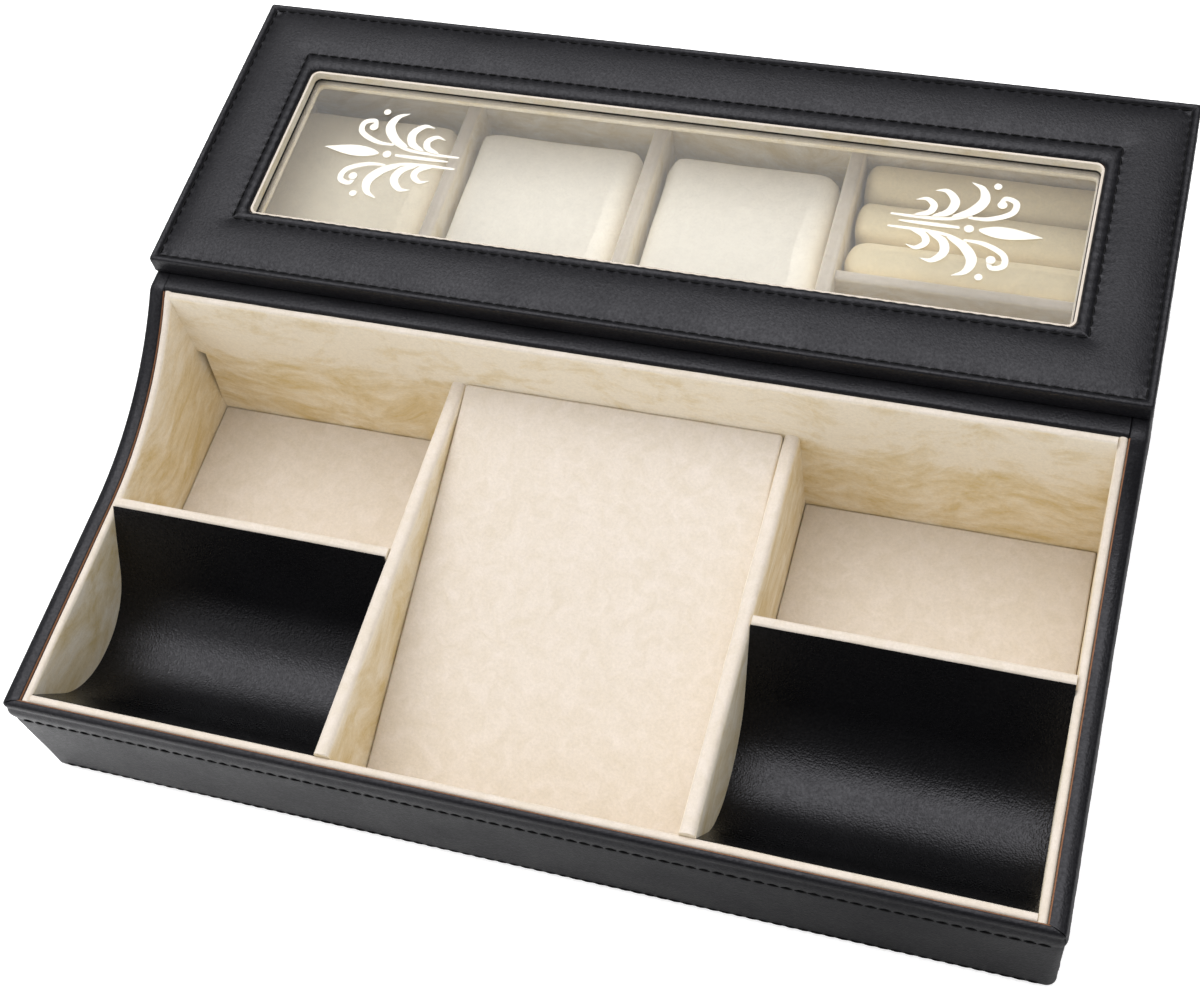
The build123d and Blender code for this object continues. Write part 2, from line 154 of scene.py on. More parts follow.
class WindowSettings(bpy.types.PropertyGroup):
    """The glass and the frosted ornaments on it."""

    ornament_length: bpy.props.FloatProperty(
        name="Ornament length", description="From its open end to its tip", default=48.0 * MM, unit="LENGTH")
    ornament_inset: bpy.props.FloatProperty(
        name="Ornament inset", description="From the window's end to the ornament's tip", default=14.5 * MM,
        unit="LENGTH")
    tint: bpy.props.FloatVectorProperty(
        name="Glass tint", description="Faint tint of the float glass", default=linear("#fefefc"),
        subtype="COLOR")
    frost: bpy.props.FloatVectorProperty(
        name="Frost", description="Colour of the etched ornaments", default=linear("#efeae0"),
        subtype="COLOR")


class StageSettings(bpy.types.PropertyGroup):
    """Camera, lamps and floor."""

    eye: bpy.props.FloatVectorProperty(
        name="Camera place", description="Where the camera stands", default=(0.14694, -0.29872, 0.53952),
        subtype="TRANSLATION", unit="LENGTH")
    aim: bpy.props.FloatVectorProperty(
        name="Camera angles", description="Turn of the camera about X, Y and Z",
        default=(math.radians(31.305), math.radians(7.632), math.radians(15.664)), subtype="EULER",
        unit="ROTATION")
    lens: bpy.props.FloatProperty(name="Lens", description="Focal length in millimetres", default=56.37)
    key: bpy.props.FloatProperty(name="Key", description="Power of the soft front lamp", default=2.4)
    sky: bpy.props.FloatProperty(name="Sky", description="Light from all round", default=0.7)
    gloss: bpy.props.FloatProperty(
        name="Room gloss", description="How bright the room is in reflections", default=0.12)
    overhead: bpy.props.FloatProperty(
        name="Overhead", description="Strength of the large diffused panel overhead", default=3.3)
    overhead_way: bpy.props.FloatVectorProperty(
        name="Overhead direction", description="Where that panel hangs, seen from the box",
        default=(-0.2, 0.24, 0.95), subtype="DIRECTION")


class ValetBoxSettings(bpy.types.PropertyGroup):
    """All the settings of the box."""

    stitches: bpy.props.PointerProperty(type=StitchSettings)
    leather: bpy.props.PointerProperty(type=LeatherSettings)
    suede: bpy.props.PointerProperty(type=SuedeSettings)
    cushions: bpy.props.PointerProperty(type=CushionSettings)
    window: bpy.props.PointerProperty(type=WindowSettings)
    stage: bpy.props.PointerProperty(type=StageSettings)


# Materials

def add(tree, kind, inputs=None, **settings):
    """A new node with its settings, and its inputs as values or links."""
    node = tree.nodes.new(kind)
    for key, value in settings.items():
        setattr(node, key, value)
    for key, value in (inputs or {}).items():
        if isinstance(value, bpy.types.NodeSocket):
            tree.links.new(value, node.inputs[key])
        else:
            node.inputs[key].default_value = value
    return node


# Sockets whose names repeat on their node are found by number: the colours of a Mix node and what it
# gives, and the least and most of a Random Value node for plain numbers and what that gives.
MIX_LOW, MIX_HIGH, MIXED = 6, 7, 2
RANDOM_LOW, RANDOM_HIGH, RANDOM = 2, 3, 1


def new_finish(name, roughness=0.5):
    """An empty material with its tree, its main shader and the place on the piece."""
    material = bpy.data.materials.new(name)
    material.use_nodes = True
    tree = material.node_tree
    shader = tree.nodes["Principled BSDF"]
    shader.inputs["Roughness"].default_value = roughness
    place = add(tree, "ShaderNodeTexCoord").outputs["Object"]
    return material, tree, shader, place


def grain_size(millimetres):
    """A texture's scale for features of that size."""
    return 1 / (millimetres * MM)


def leatherette(name, colour, grain, low_gloss, high_gloss, emboss):
    """Polyurethane leather on cloth, embossed with a fine pebble grain and calendered to a satin.

    The eye sees near-black with small bright flecks wherever a pebble's top meets a lamp, and a
    slow change of gloss where the skin was stretched."""
    material = bpy.data.materials.get(name)
    if material:
        return material
    material, tree, shader, place = new_finish(name)
    pebble = add(tree, "ShaderNodeTexVoronoi", {"Vector": place, "Scale": grain_size(grain)})
    fleck = add(tree, "ShaderNodeSeparateColor", {"Color": pebble.outputs["Color"]}).outputs["Red"]
    crease, stretch, dapple = [
        add(tree, "ShaderNodeTexNoise", {
            "Vector": place, "Scale": grain_size(size), "Detail": detail,
        }).outputs["Fac"]
        for size, detail in ((2.2, 5.0), (18.0, 3.0), (0.9, 4.0))]
    tone = add(tree, "ShaderNodeMix", {
        0: stretch,
        MIX_LOW: paint([c * 0.72 for c in colour]),
        MIX_HIGH: paint([c * 1.35 for c in colour]),
    }, data_type="RGBA").outputs[MIXED]
    tree.links.new(tone, shader.inputs["Base Color"])
    shader.inputs["Specular Tint"].default_value = (0.94, 0.93, 1.0, 1.0)
    gloss, sparkle, shine = [
        add(tree, "ShaderNodeMapRange", {
            "Value": value, "From Min": low, "From Max": high, "To Min": least, "To Max": most,
        }).outputs["Result"]
        for value, low, high, least, most in (
            (stretch, 0.3, 0.7, low_gloss, high_gloss),
            (fleck, 0.6, 1.0, 0.0, 0.05),
            (dapple, 0.3, 0.7, 0.26, 0.46),
        )]
    rough = add(tree, "ShaderNodeMath", {0: gloss, 1: sparkle}, operation="SUBTRACT").outputs[0]
    tree.links.new(rough, shader.inputs["Roughness"])
    tree.links.new(shine, shader.inputs["Specular IOR Level"])
    coarse = add(tree, "ShaderNodeBump", {
        "Height": crease, "Strength": 0.2, "Distance": 0.1 * MM,
    }).outputs["Normal"]
    fine = add(tree, "ShaderNodeBump", {
        "Height": pebble.outputs["Distance"], "Strength": emboss, "Distance": 0.08 * MM, "Normal": coarse,
    }).outputs["Normal"]
    tree.links.new(fine, shader.inputs["Normal"])
    return material


FUZZ = 0.8                  # real pile is finer, and is drawn this coarse so that it shows
PALE_BAND_FOOT = 40.0            # upright cloth is drawn paler from this height
PALE_BAND_TOP = 49.0             # up to this one, near the top of the tray's boards


def suede(name, flat_pile, flat_shade, wall_pile, wall_shade):
    """Polyester suede cloth with a short raised pile, brushed by hand.

    On faces that point up the eye sees a pale dusty tone with faint crushed marks. Upright faces take
    more golden tones, with light and dark strokes where a hand turned it, and are drawn paler towards
    their top. The upright and the flat tones are lit and shaded copies of one cloth: painted light and
    shade, picked by which way a face points. Fuzz mottles its tone, and nothing shines."""
    material = bpy.data.materials.get(name)
    if material:
        return material
    material, tree, shader, place = new_finish(name, 1.0)
    shader.inputs["Sheen Weight"].default_value = 0.2
    shader.inputs["Sheen Roughness"].default_value = 0.5
    shader.inputs["Specular IOR Level"].default_value = 0.1
    # Painted light and shade: which way a face points picks the upright tones or the flat ones.
    facing = add(tree, "ShaderNodeTexCoord").outputs["Normal"]
    upward = add(tree, "ShaderNodeSeparateXYZ", {0: facing}).outputs["Z"]
    flat = add(tree, "ShaderNodeMapRange", {
        "Value": upward, "From Min": 0.15, "From Max": 0.8,
    }, interpolation_type="SMOOTHSTEP").outputs["Result"]
    sway = add(tree, "ShaderNodeTexNoise", {"Vector": place, "Scale": grain_size(70.0), "Detail": 2.0})
    turn = add(tree, "ShaderNodeVectorMath", {0: sway.outputs["Color"], "Scale": 0.05}, operation="SCALE")
    swept = add(tree, "ShaderNodeVectorMath", {0: place, 1: turn.outputs[0]}, operation="ADD").outputs[0]
    brushed = add(tree, "ShaderNodeMapping", {"Vector": swept, "Scale": (0.8, 0.8, 1.5)}).outputs["Vector"]
    strokes, patches, creases, fuzz = [
        add(tree, "ShaderNodeTexNoise", {
            "Vector": spot, "Scale": grain_size(size), "Detail": detail, "Roughness": rough,
            "Distortion": bent,
        }, noise_type=kind).outputs["Fac"]
        for spot, size, detail, rough, bent, kind in (
            (brushed, 12.0, 9.0, 0.7, 0.3, "FBM"),
            (place, 6.0, 6.0, 0.66, 0.9, "FBM"),
            (swept, 6.5, 4.0, 0.5, 1.2, "RIDGED_MULTIFRACTAL"),
            (place, FUZZ, 3.0, 0.75, 0.0, "FBM"),
        )]
    # Upright cloth is drawn paler towards its top.
    height = add(tree, "ShaderNodeSeparateXYZ", {0: place}).outputs["Z"]
    pale_band = add(tree, "ShaderNodeMapRange", {
        "Value": height, "From Min": PALE_BAND_FOOT * MM, "From Max": PALE_BAND_TOP * MM, "To Min": 0.0, "To Max": 0.14,
    }, interpolation_type="SMOOTHSTEP").outputs["Result"]
    raised = add(tree, "ShaderNodeMath", {0: strokes, 1: pale_band}, operation="ADD").outputs[0]
    lie, rest, crush, dust = [
        add(tree, "ShaderNodeMapRange", {
            "Value": value, "From Min": low, "From Max": high, "To Min": least, "To Max": most,
        }).outputs["Result"]
        for value, low, high, least, most in (
            (raised, 0.36, 0.66, 0.0, 1.0),
            (patches, 0.3, 0.7, 0.0, 1.0),
            (creases, 0.8, 1.7, 1.015, 0.95),
            (fuzz, 0.3, 0.7, 0.93, 1.05),
        )]
    upright_painted_tone, flat_painted_tone = [
        add(tree, "ShaderNodeMix", {
            0: share, MIX_LOW: paint(low), MIX_HIGH: paint(high),
        }, data_type="RGBA").outputs[MIXED]
        for share, low, high in ((lie, wall_shade, wall_pile), (rest, flat_shade, flat_pile))]
    tone = add(tree, "ShaderNodeMix", {
        0: flat, MIX_LOW: upright_painted_tone, MIX_HIGH: flat_painted_tone,
    }, data_type="RGBA").outputs[MIXED]
    level = add(tree, "ShaderNodeMath", {0: crush, 1: dust}, operation="MULTIPLY").outputs[0]
    cloth = add(tree, "ShaderNodeVectorMath", {0: tone, "Scale": level}, operation="SCALE").outputs[0]
    tree.links.new(cloth, shader.inputs["Base Color"])
    nap = add(tree, "ShaderNodeBump", {
        "Height": patches, "Strength": 0.3, "Distance": 0.4 * MM,
    }).outputs["Normal"]
    pile_bump = add(tree, "ShaderNodeBump", {
        "Height": fuzz, "Strength": 0.6, "Distance": 0.12 * MM, "Normal": nap,
    }).outputs["Normal"]
    tree.links.new(pile_bump, shader.inputs["Normal"])
    return material


def plain_matter(name, low, high, patch, bump, roughness, metallic=0.0, shine=0.5):
    """A plain mottled finish: foam, pressed fibre board, felt, thread, cotton backing, a dark strip that
    paints shadow, frosted glass or browned brass.

    The eye sees one colour that drifts between two close tones, over a fine uneven surface."""
    material = bpy.data.materials.get(name)
    if material:
        return material
    material, tree, shader, place = new_finish(name, roughness)
    shader.inputs["Metallic"].default_value = metallic
    shader.inputs["Specular IOR Level"].default_value = shine
    drift = add(tree, "ShaderNodeTexNoise", {
        "Vector": place, "Scale": grain_size(patch), "Detail": 6.0, "Roughness": 0.65,
    }).outputs["Fac"]
    speck = add(tree, "ShaderNodeTexNoise", {
        "Vector": place, "Scale": grain_size(patch / 8), "Detail": 3.0,
    }).outputs["Fac"]
    tone = add(tree, "ShaderNodeMix", {
        0: drift, MIX_LOW: paint(low), MIX_HIGH: paint(high),
    }, data_type="RGBA").outputs[MIXED]
    tree.links.new(tone, shader.inputs["Base Color"])
    surface = add(tree, "ShaderNodeBump", {
        "Height": speck, "Strength": 0.5, "Distance": bump * MM,
    }).outputs["Normal"]
    tree.links.new(surface, shader.inputs["Normal"])
    return material


def float_glass(tint):
    """Clear float glass, polished on both faces: it refracts, and lets lamps through to the case."""
    material, tree, shader, place = new_finish("float_glass", 0.0)
    shader.inputs["Base Color"].default_value = paint(tint)
    shader.inputs["Transmission Weight"].default_value = 1.0
    shader.inputs["IOR"].default_value = 1.5
    haze = add(tree, "ShaderNodeTexNoise", {"Vector": place, "Scale": grain_size(60.0), "Detail": 3.0})
    smear = add(tree, "ShaderNodeMapRange", {
        "Value": haze.outputs["Fac"], "From Min": 0.35, "From Max": 0.75, "To Min": 0.0, "To Max": 0.03,
    }).outputs["Result"]
    tree.links.new(smear, shader.inputs["Roughness"])
    clear = add(tree, "ShaderNodeBsdfTransparent", {"Color": paint(tint)}).outputs[0]
    shadow = add(tree, "ShaderNodeLightPath").outputs["Is Shadow Ray"]
    both = add(tree, "ShaderNodeMixShader", {0: shadow, 1: shader.outputs[0], 2: clear}).outputs[0]
    tree.links.new(both, tree.nodes["Material Output"].inputs["Surface"])
    return material


def settings():
    """The box's settings."""
    return bpy.context.scene.valet_box


def box_leather():
    """The leatherette of walls and lid."""
    s = settings().leather
    return leatherette("black_leatherette", s.colour, s.grain / MM, 0.36, 0.46, 0.7)


def trough_leather():
    """The troughs' leatherette, deeper black, glossier and more strongly embossed."""
    s = settings().leather
    return leatherette("trough_leatherette", s.trough_colour, s.grain / MM, 0.27, 0.34, 0.95)


def board_suede():
    """The suede cloth of every covered board."""
    s = settings().suede
    return suede("suede_cloth", s.pile, s.shade, s.wall_pile, s.wall_shade)


def velvet(name, colour):
    """Short-piled velvet of a cushion, nearly of one tone, a little deeper where the pile parts, and
    in a slightly deeper painted shade on its upright sides.
    """
    return suede(name, colour, [c * 0.93 for c in colour], colour, [c * 0.86 for c in colour])


def cut_edge():
    """The leatherette's cut edge, where its brown cotton backing and dried glue show as a thin line."""
    return plain_matter("cotton_backing", linear("#5e3c28"), linear("#97694a"), 1.5, 0.1, 0.9)


# Meshes

SHARP_ANGLE = 42            # in degrees; an edge that turns more than this is drawn sharp
BOARD_DRIFT = 17.0          # length of the waves in a covered board
SAME_PLACE = 1e-6           # lengths under this count as none


def span(node):
    """Lowest and highest corner of a node, in millimetres."""
    low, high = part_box(node)
    return low / MM, high / MM


def drift_of(point, distance, amount):
    """A slow uneven shift, so that covered boards aren't dead straight."""
    return noise.noise_vector(Vector(point) / distance) * amount


def new_piece(name, points, faces, finish):
    """A mesh object from points in millimetres, smooth but for its sharp corners."""
    mesh = bpy.data.meshes.new(name)
    mesh.from_pydata([Vector(p) * MM for p in points], [], faces)
    work = bmesh.new()
    work.from_mesh(mesh)
    bmesh.ops.recalc_face_normals(work, faces=work.faces)
    work.to_mesh(mesh)
    work.free()
    return link_piece(name, mesh, finish)


def link_piece(name, mesh, finish):
    """An object at the origin that shows this mesh in this finish."""
    mesh.polygons.foreach_set("use_smooth", [True] * len(mesh.polygons))
    mesh.set_sharp_from_angle(angle=math.radians(SHARP_ANGLE))
    mesh.materials.clear()
    mesh.materials.append(finish)
    piece = bpy.data.objects.new(name, mesh)
    bpy.context.scene.collection.objects.link(piece)
    return piece


def refinish(finish, *nodes):
    """Gives CAD nodes that stay in sight this finish."""
    for node in nodes:
        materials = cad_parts[node].data.materials
        materials.clear()
        materials.append(finish)


def settle(piece, body, slot, *nodes):
    """Fixes a piece to its body and hides the nodes that it stands for; slot is not used."""
    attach(piece, body)
    if nodes:
        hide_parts(*nodes)
    return piece


def skin_piece(name, rings, finish, closed=False):
    """A piece whose skin runs over rings of as many points; an open skin gets end faces."""
    count = len(rings[0])
    points = [p for ring in rings for p in ring]
    faces = []
    last = len(rings) if closed else len(rings) - 1
    for i in range(last):
        a = i * count
        b = (i + 1) % len(rings) * count
        for j in range(count):
            k = (j + 1) % count
            faces.append((a + j, a + k, b + k, b + j))
    if not closed:
        faces.append(tuple(range(count)))
        end = (len(rings) - 1) * count
        faces.append(tuple(end + j for j in range(count)))
    return new_piece(name, points, faces, finish)


def band_faces(piece, count, rows, back, finish):
    """Gives some rows of a skin with that many points to a ring a second finish, up to a depth."""
    piece.data.materials.append(finish)
    for face in piece.data.polygons:
        if face.index % count in rows and len(face.vertices) == 4 and face.center.y < back * MM:
            face.material_index = 1


def edge_cuts(low, high, radius, soft_low, soft_high, step):
    """Places of the cuts along one side of a board, closer together on its rounded edges."""
    bends = [math.tan(math.radians(angle)) for angle in (34, 23, 12)]
    start = low + radius if soft_low else low
    end = high - radius if soft_high else high
    count = max(1, math.ceil((end - start) / step))
    cuts = [low, high] + [start + (end - start) * i / count for i in range(count + 1)]
    if soft_low:
        cuts += [low + radius * (1 - t) for t in bends]
    if soft_high:
        cuts += [high - radius * (1 - t) for t in bends]
    return sorted({round(c, 5) for c in cuts})


def rounded_board(name, low, high, radius, soft, finish, bend=None, step=4.0, uneven=0.10):
    """A board in cloth or leather. soft names its rounded sides: x y z for the low ones, X Y Z for
    the high ones. bend moves a point of the straight board to its place, step is the mesh size and
    uneven the height of its waves."""
    soft_low = [letter in soft for letter in "xyz"]
    soft_high = [letter in soft for letter in "XYZ"]
    room = [(high[k] - low[k]) / 2 * 0.98 for k in range(3) if soft_low[k] and soft_high[k]]
    radius = min([radius] + room)
    cuts = [edge_cuts(low[k], high[k], radius, soft_low[k], soft_high[k], step) for k in range(3)]
    inner_low = [low[k] + (radius if soft_low[k] else 0) for k in range(3)]
    inner_high = [high[k] - (radius if soft_high[k] else 0) for k in range(3)]
    index = {}
    points = []

    def vertex(i, j, k):
        key = (i, j, k)
        if key not in index:
            p = Vector((cuts[0][i], cuts[1][j], cuts[2][k]))
            core = Vector([min(max(p[a], inner_low[a]), inner_high[a]) for a in range(3)])
            out = p - core
            if out.length > SAME_PLACE:
                p = core + out * (max(abs(v) for v in out) / out.length)
            if bend:
                p = Vector(bend(p))
            index[key] = len(points)
            points.append(p + drift_of(p, BOARD_DRIFT, uneven))
        return index[key]

    faces = []
    ends = [len(c) - 1 for c in cuts]
    for axis in range(3):
        u, v = [a for a in range(3) if a != axis]
        for side in (0, ends[axis]):
            for i in range(ends[u]):
                for j in range(ends[v]):
                    quad = []
                    for di, dj in ((0, 0), (1, 0), (1, 1), (0, 1)):
                        key = [0, 0, 0]
                        key[axis] = side
                        key[u] = i + di
                        key[v] = j + dj
                        quad.append(vertex(*key))
                    faces.append(quad)
    return new_piece(name, points, faces, finish)


# The outer walls

class Wall:
    """One wall of the outer ring, from corner to corner, seen from above."""

    corner = 3.0            # radius of the upright corners at their foot
    sharp = 1.3             # the same at the rim, where the leather is pulled tight
    relax = 40              # drop over which the one becomes the other
    sweep = 105.0           # radius of the swept rim
    ease = 1.5              # softness of the shoulder above that sweep
    bottom = 0.8            # height of the walls' lower edge, which is where the felt ends

    def __init__(self, node):
        front = span("front_wall")
        side = span("right_side_wall")
        back = span("back_wall")
        self.node = node
        self.front_y = front[0].y
        self.back_y = back[1].y
        self.side_x = side[1].x
        self.low_rim = front[1].z
        self.high_rim = side[1].z
        self.sweep_end = span("middle_wall")[0].y
        thick = {"front": front[1].y - front[0].y, "side": side[1].x - side[0].x,
                 "back": back[1].y - back[0].y}
        x, f, b = self.side_x, self.front_y, self.back_y
        self.start, self.along, self.out, self.length, kinds = {
            "front_wall": ((-x, f), (1, 0), (0, -1), 2 * x, ("side", "front", "side")),
            "right_side_wall": ((x, f), (0, 1), (1, 0), b - f, ("front", "side", "back")),
            "back_wall": ((x, b), (-1, 0), (0, 1), 2 * x, ("side", "back", "side")),
            "left_side_wall": ((-x, b), (0, -1), (-1, 0), b - f, ("back", "side", "front")),
        }[node]
        self.before, self.thick, self.after = [thick[k] for k in kinds]
        self.start, self.along, self.out = [Vector(v).to_3d() for v in (self.start, self.along, self.out)]
        self.arc = self.corner * math.pi / 4
        self.total = self.length - 2 * self.corner + 2 * self.arc

    def at(self, s, drop=0.0):
        """Outer point, outward direction and inner point at a length s along the wall, and a drop."""
        radius = self.sharp + (self.corner - self.sharp) * min(drop / self.relax, 1)
        centre = self.start - self.out * radius
        reach = self.length / 2 - radius
        if s < self.arc:
            turn = (self.arc - s) / self.corner
            lean = -1
            centre = centre + self.along * radius
        elif s > self.total - self.arc:
            turn = (s - self.total + self.arc) / self.corner
            lean = 1
            centre = centre + self.along * (self.length - radius)
        else:
            turn = 0
            lean = 1
            middle = self.total / 2
            centre = centre + self.along * (self.length / 2 + (s - middle) * reach / (middle - self.arc))
        normal = self.out * math.cos(turn) + self.along * (lean * math.sin(turn))
        outer = centre + normal * radius
        q = (outer - self.start).dot(self.along)
        q = min(max(q, self.before), self.length - self.after)
        inner = self.start + self.along * q - self.out * self.thick
        return outer, normal, inner

    def rim(self, y):
        """Height of the wall's top and the cosine of its slope at y."""
        if self.node == "front_wall":
            return self.low_rim, 1.0
        if self.node == "back_wall":
            return self.high_rim, 1.0

        def height(v):
            rise = self.high_rim - self.low_rim
            reach = math.sqrt(2 * self.sweep * rise - rise * rise)
            run = min(max(v - self.sweep_end + reach, 0), self.sweep * 0.9)
            arc = self.low_rim + self.sweep - math.sqrt(self.sweep ** 2 - run * run)
            gap = max(self.ease - abs(arc - self.high_rim), 0)
            return min(arc, self.high_rim) - gap * gap / (4 * self.ease)

        slope = (height(y + 0.1) - height(y - 0.1)) / 0.2
        return height(y), 1 / math.sqrt(1 + slope * slope)


NEEDLE_HOLE = 0.6           # width of the dent round a needle hole
STITCH_DROP = 10.5          # the rim's seam runs this far below its top
SEAM_SINK = 0.14            # depth of its groove
THREAD_LIFT = 0.1           # the thread lies this much over the groove's floor
FOOT_SINK = 0.03            # the lower seam's thread lies this deep in the leather
TRAY_CROWN = 3.5            # round the tray the padding lifts the rim's middle this much more
FOOT_SEAM = 1.8             # the lower seam runs this far above the walls' lower edge
FOOT_TURN = 2.2             # above that edge by this much the face starts to turn in
FACE_ROWS = 6               # rows of the flat face below the rim's padding
STITCH_STEPS = 6            # mesh rows from one stitch to the next
MITRE = 0.28                # how far the leather draws in at a wall's ends
MITRE_DROP = 16             # and how far down
THICK_WALL = 4              # from this thickness on a wall's top has rows of its own
LEAF_SEAT = 1.03            # a hinge leaf's thickness, and the leather's room to it
LEAF_GAP = 0.2              # the leather's room beside a leaf


def at_leaf(x, leaves):
    """Whether x lies over one of the hinge leaves, each given as its lowest and highest corner."""
    return any(low.x - LEAF_GAP < x < high.x + LEAF_GAP for low, high in leaves)


def rim_rows(thick, swell):
    """A wall's section as rows of (inward, outward, drop), from inside over the rim and down."""
    roll = 0.8
    rows = [(thick, 0, 6.0), (thick, 0, 2.0), (thick, 0, roll), (thick - 0.07, 0, 0.48),
            (thick - 0.25, 0, 0.22), (thick - roll * 0.65, 0, 0.05), (thick - roll - 0.1, 0, 0.0)]
    if thick > THICK_WALL:
        rows += [(thick * 0.6, 0, -0.10), (thick * 0.42, 0, -0.08)]
    rows += [(1.35, 0, 0.05), (0.85, 0, 0.18), (0.42, 0, 0.45), (0.12, 0, 0.9)]
    bead = ((0.02, 1.4), (0.03, 2.0), (-0.04, 2.5), (-0.13, 3.0), (-0.13, 3.5))
    padding = ((0.05, 4.0), (0.45, 4.6), (0.82, 5.3), (1.0, 6.1),
               (0.96, 6.9), (0.78, 7.7), (0.5, 8.5), (0.2, 9.3))
    seam = ((-0.04, 10.0), (-SEAM_SINK, STITCH_DROP), (-0.09, 11.0),
            (-0.01, 11.6), (0.03, 12.5), (0.02, 14.0))
    rows += [(0, out, drop) for out, drop in bead]
    rows += [(0, swell * share, drop) for share, drop in padding]
    rows += [(0, out, drop) for out, drop in seam]
    return rows


def pucker(row_drop, phase, s):
    """How the leather draws in at the needle holes and ripples beside the seam."""
    away = row_drop - STITCH_DROP
    hole = 0.08 * math.exp(-(away / NEEDLE_HOLE) ** 2)
    ripple = (0.09 if away < 0 else 0.03) * math.exp(-(away / 3.6) ** 2)
    slow = noise.noise(Vector((s / 9, row_drop / 6, 0.3)))
    wander = 0.10 * math.exp(-((row_drop - 6.7) / 3.5) ** 2) * slow
    return (hole + ripple) * math.cos(phase) + wander


def wall_piece(node, swell, pitch, finish):
    """A wall in leather: rolled rim, crease, padded band, sewn seam and flat lower face."""
    wall = Wall(node)
    stitch_count = round(wall.total / pitch)
    pitch = wall.total / stitch_count
    step = pitch / STITCH_STEPS
    rows = rim_rows(wall.thick, swell)
    leaves = [span(side + "_hinge_case_leaf") for side in ("left", "right")]
    leaf_seat = wall.high_rim - LEAF_SEAT
    edge = 0.35
    inner_places = [i * step for i in range(1, stitch_count * STITCH_STEPS)]
    places = [0, edge] + inner_places + [wall.total - edge, wall.total]
    foot = ((0.0, 1.3), (0.15, 0.65), (0.5, 0.2), (1.1, 0.0), (wall.thick, 0.0))
    rings = []
    for s in places:
        outer, _, _ = wall.at(s)
        top, level = wall.rim(outer.y)
        end = s in (0, wall.total)
        ring = []
        for inward, outward, drop in rows:
            outer, normal, inner = wall.at(s, drop)
            base = outer.lerp(inner, inward / wall.thick)
            puckered = drop > 2.5 and inward == 0
            shift = outward + (pucker(drop, 2 * math.pi * s / pitch, s) if puckered else 0)
            sunk = MITRE if end and drop < MITRE_DROP else 0
            p = base + normal * (shift - sunk)
            crown = TRAY_CROWN if drop < 0 and outer.y < wall.sweep_end - 4 else 1
            z = top - drop * crown / level - (sunk if drop < 1 else 0)
            if node == "back_wall" and at_leaf(p.x, leaves):
                z = min(z, leaf_seat)
            ring.append(Vector((p.x, p.y, z)))
        face_top = ring[-1].z
        for i in range(1, FACE_ROWS + 1):
            z = face_top + (wall.bottom + FOOT_TURN - face_top) * i / FACE_ROWS
            outer, normal, inner = wall.at(s, top - z)
            wave = 0.16 * noise.noise(Vector((s / 40, z / 25, 1.7)))
            p = outer + normal * wave
            ring.append(Vector((p.x, p.y, z)))
        for inward, up in foot:
            base = outer.lerp(inner, inward / wall.thick)
            ring.append(Vector((base.x, base.y, wall.bottom + up)))
        rings.append(ring)
    piece = skin_piece(node + "_leather", rings, finish)
    if node != "back_wall":
        rows = (2, 3) if node == "left_side_wall" else (3, 4)
        band_faces(piece, len(rings[0]), rows, wall.sweep_end, cut_edge())
    return settle(piece, "box", "black_leather", node)


# The lid

class LidForm:
    """The lid's board: nested rectangles from its outer edge in to its window."""

    def __init__(self):
        low, high = span("lid_board")
        window_low, window_high = span("window_edge_lining")
        self.low, self.high = low, high
        self.window = (window_low, window_high)
        self.seam_out = {"x": 2.6, "front": 2.7, "back": 2.3}
        self.seam_in = {"x": 4.3, "front": 3.2, "back": 6.7}
        self.width = {"x": high.x - window_high.x, "front": window_low.y - low.y,
                      "back": high.y - window_high.y}

    def inset(self, kind, share):
        """The inset of a ring from the lid's edge on each side."""
        result = {}
        for side in ("x", "front", "back"):
            a = self.seam_out[side]
            b = self.width[side] - self.seam_in[side]
            w = self.width[side]
            result[side] = {"edge": a * share, "field": a + (b - a) * share, "roll": b + (w - b) * share,
                            "rebate": w - share}[kind]
        return result

    def ring(self, inset, radius, places):
        """Points round one rectangle with rounded corners."""
        x = self.high.x - inset["x"]
        y0 = self.low.y + inset["front"]
        y1 = self.high.y - inset["back"]
        corners = ((-x, y0), (x, y0), (x, y1), (-x, y1))
        points = []
        for side, share in places:
            (ax, ay), (bx, by) = corners[side], corners[(side + 1) % 4]
            p = Vector((ax + (bx - ax) * share, ay + (by - ay) * share))
            core = Vector((min(max(p.x, radius - x), x - radius), min(max(p.y, y0 + radius), y1 - radius)))
            out = p - core
            if abs(out.x) > SAME_PLACE and abs(out.y) > SAME_PLACE:
                p = core + out * (max(abs(out.x), abs(out.y)) / out.length)
            points.append((p.x, p.y))
        return points

    def seam(self, kind):
        """Half width, front and back of the outer or the inner seam."""
        inset = self.inset("edge", 1.0) if kind == "outer" else self.inset("roll", 0.0)
        return self.high.x - inset["x"], self.low.y + inset["front"], self.high.y - inset["back"]

    def from_outer(self, x, y):
        """Distance inside the outer seam, eased where two sides meet."""
        half, front, back = self.seam("outer")
        across = min(y - front, back - y)
        along = half - abs(x)
        blend = max(6 - abs(across - along), 0) / 6
        return max(min(across, along) - blend * blend * 1.5, 0)

    def from_inner(self, x, y):
        """Distance outside the inner seam."""
        half, front, back = self.seam("inner")
        return math.hypot(max(abs(x) - half, 0), max(front - y, y - back, 0))


LID_GROOVE = 0.95           # the lid's seams lie in grooves this far below its top
LID_THREAD = 0.93           # and their thread this far
FIELD_ROWS = 30             # rows across the padded field between the grooves
FIELD_RISE = 9              # the padding has its full height this far from a groove
WAVE_RISE = 6               # and its slow waves this far
CUT_DEPTH = 1.65            # in the window the leather's cut edge starts this far down


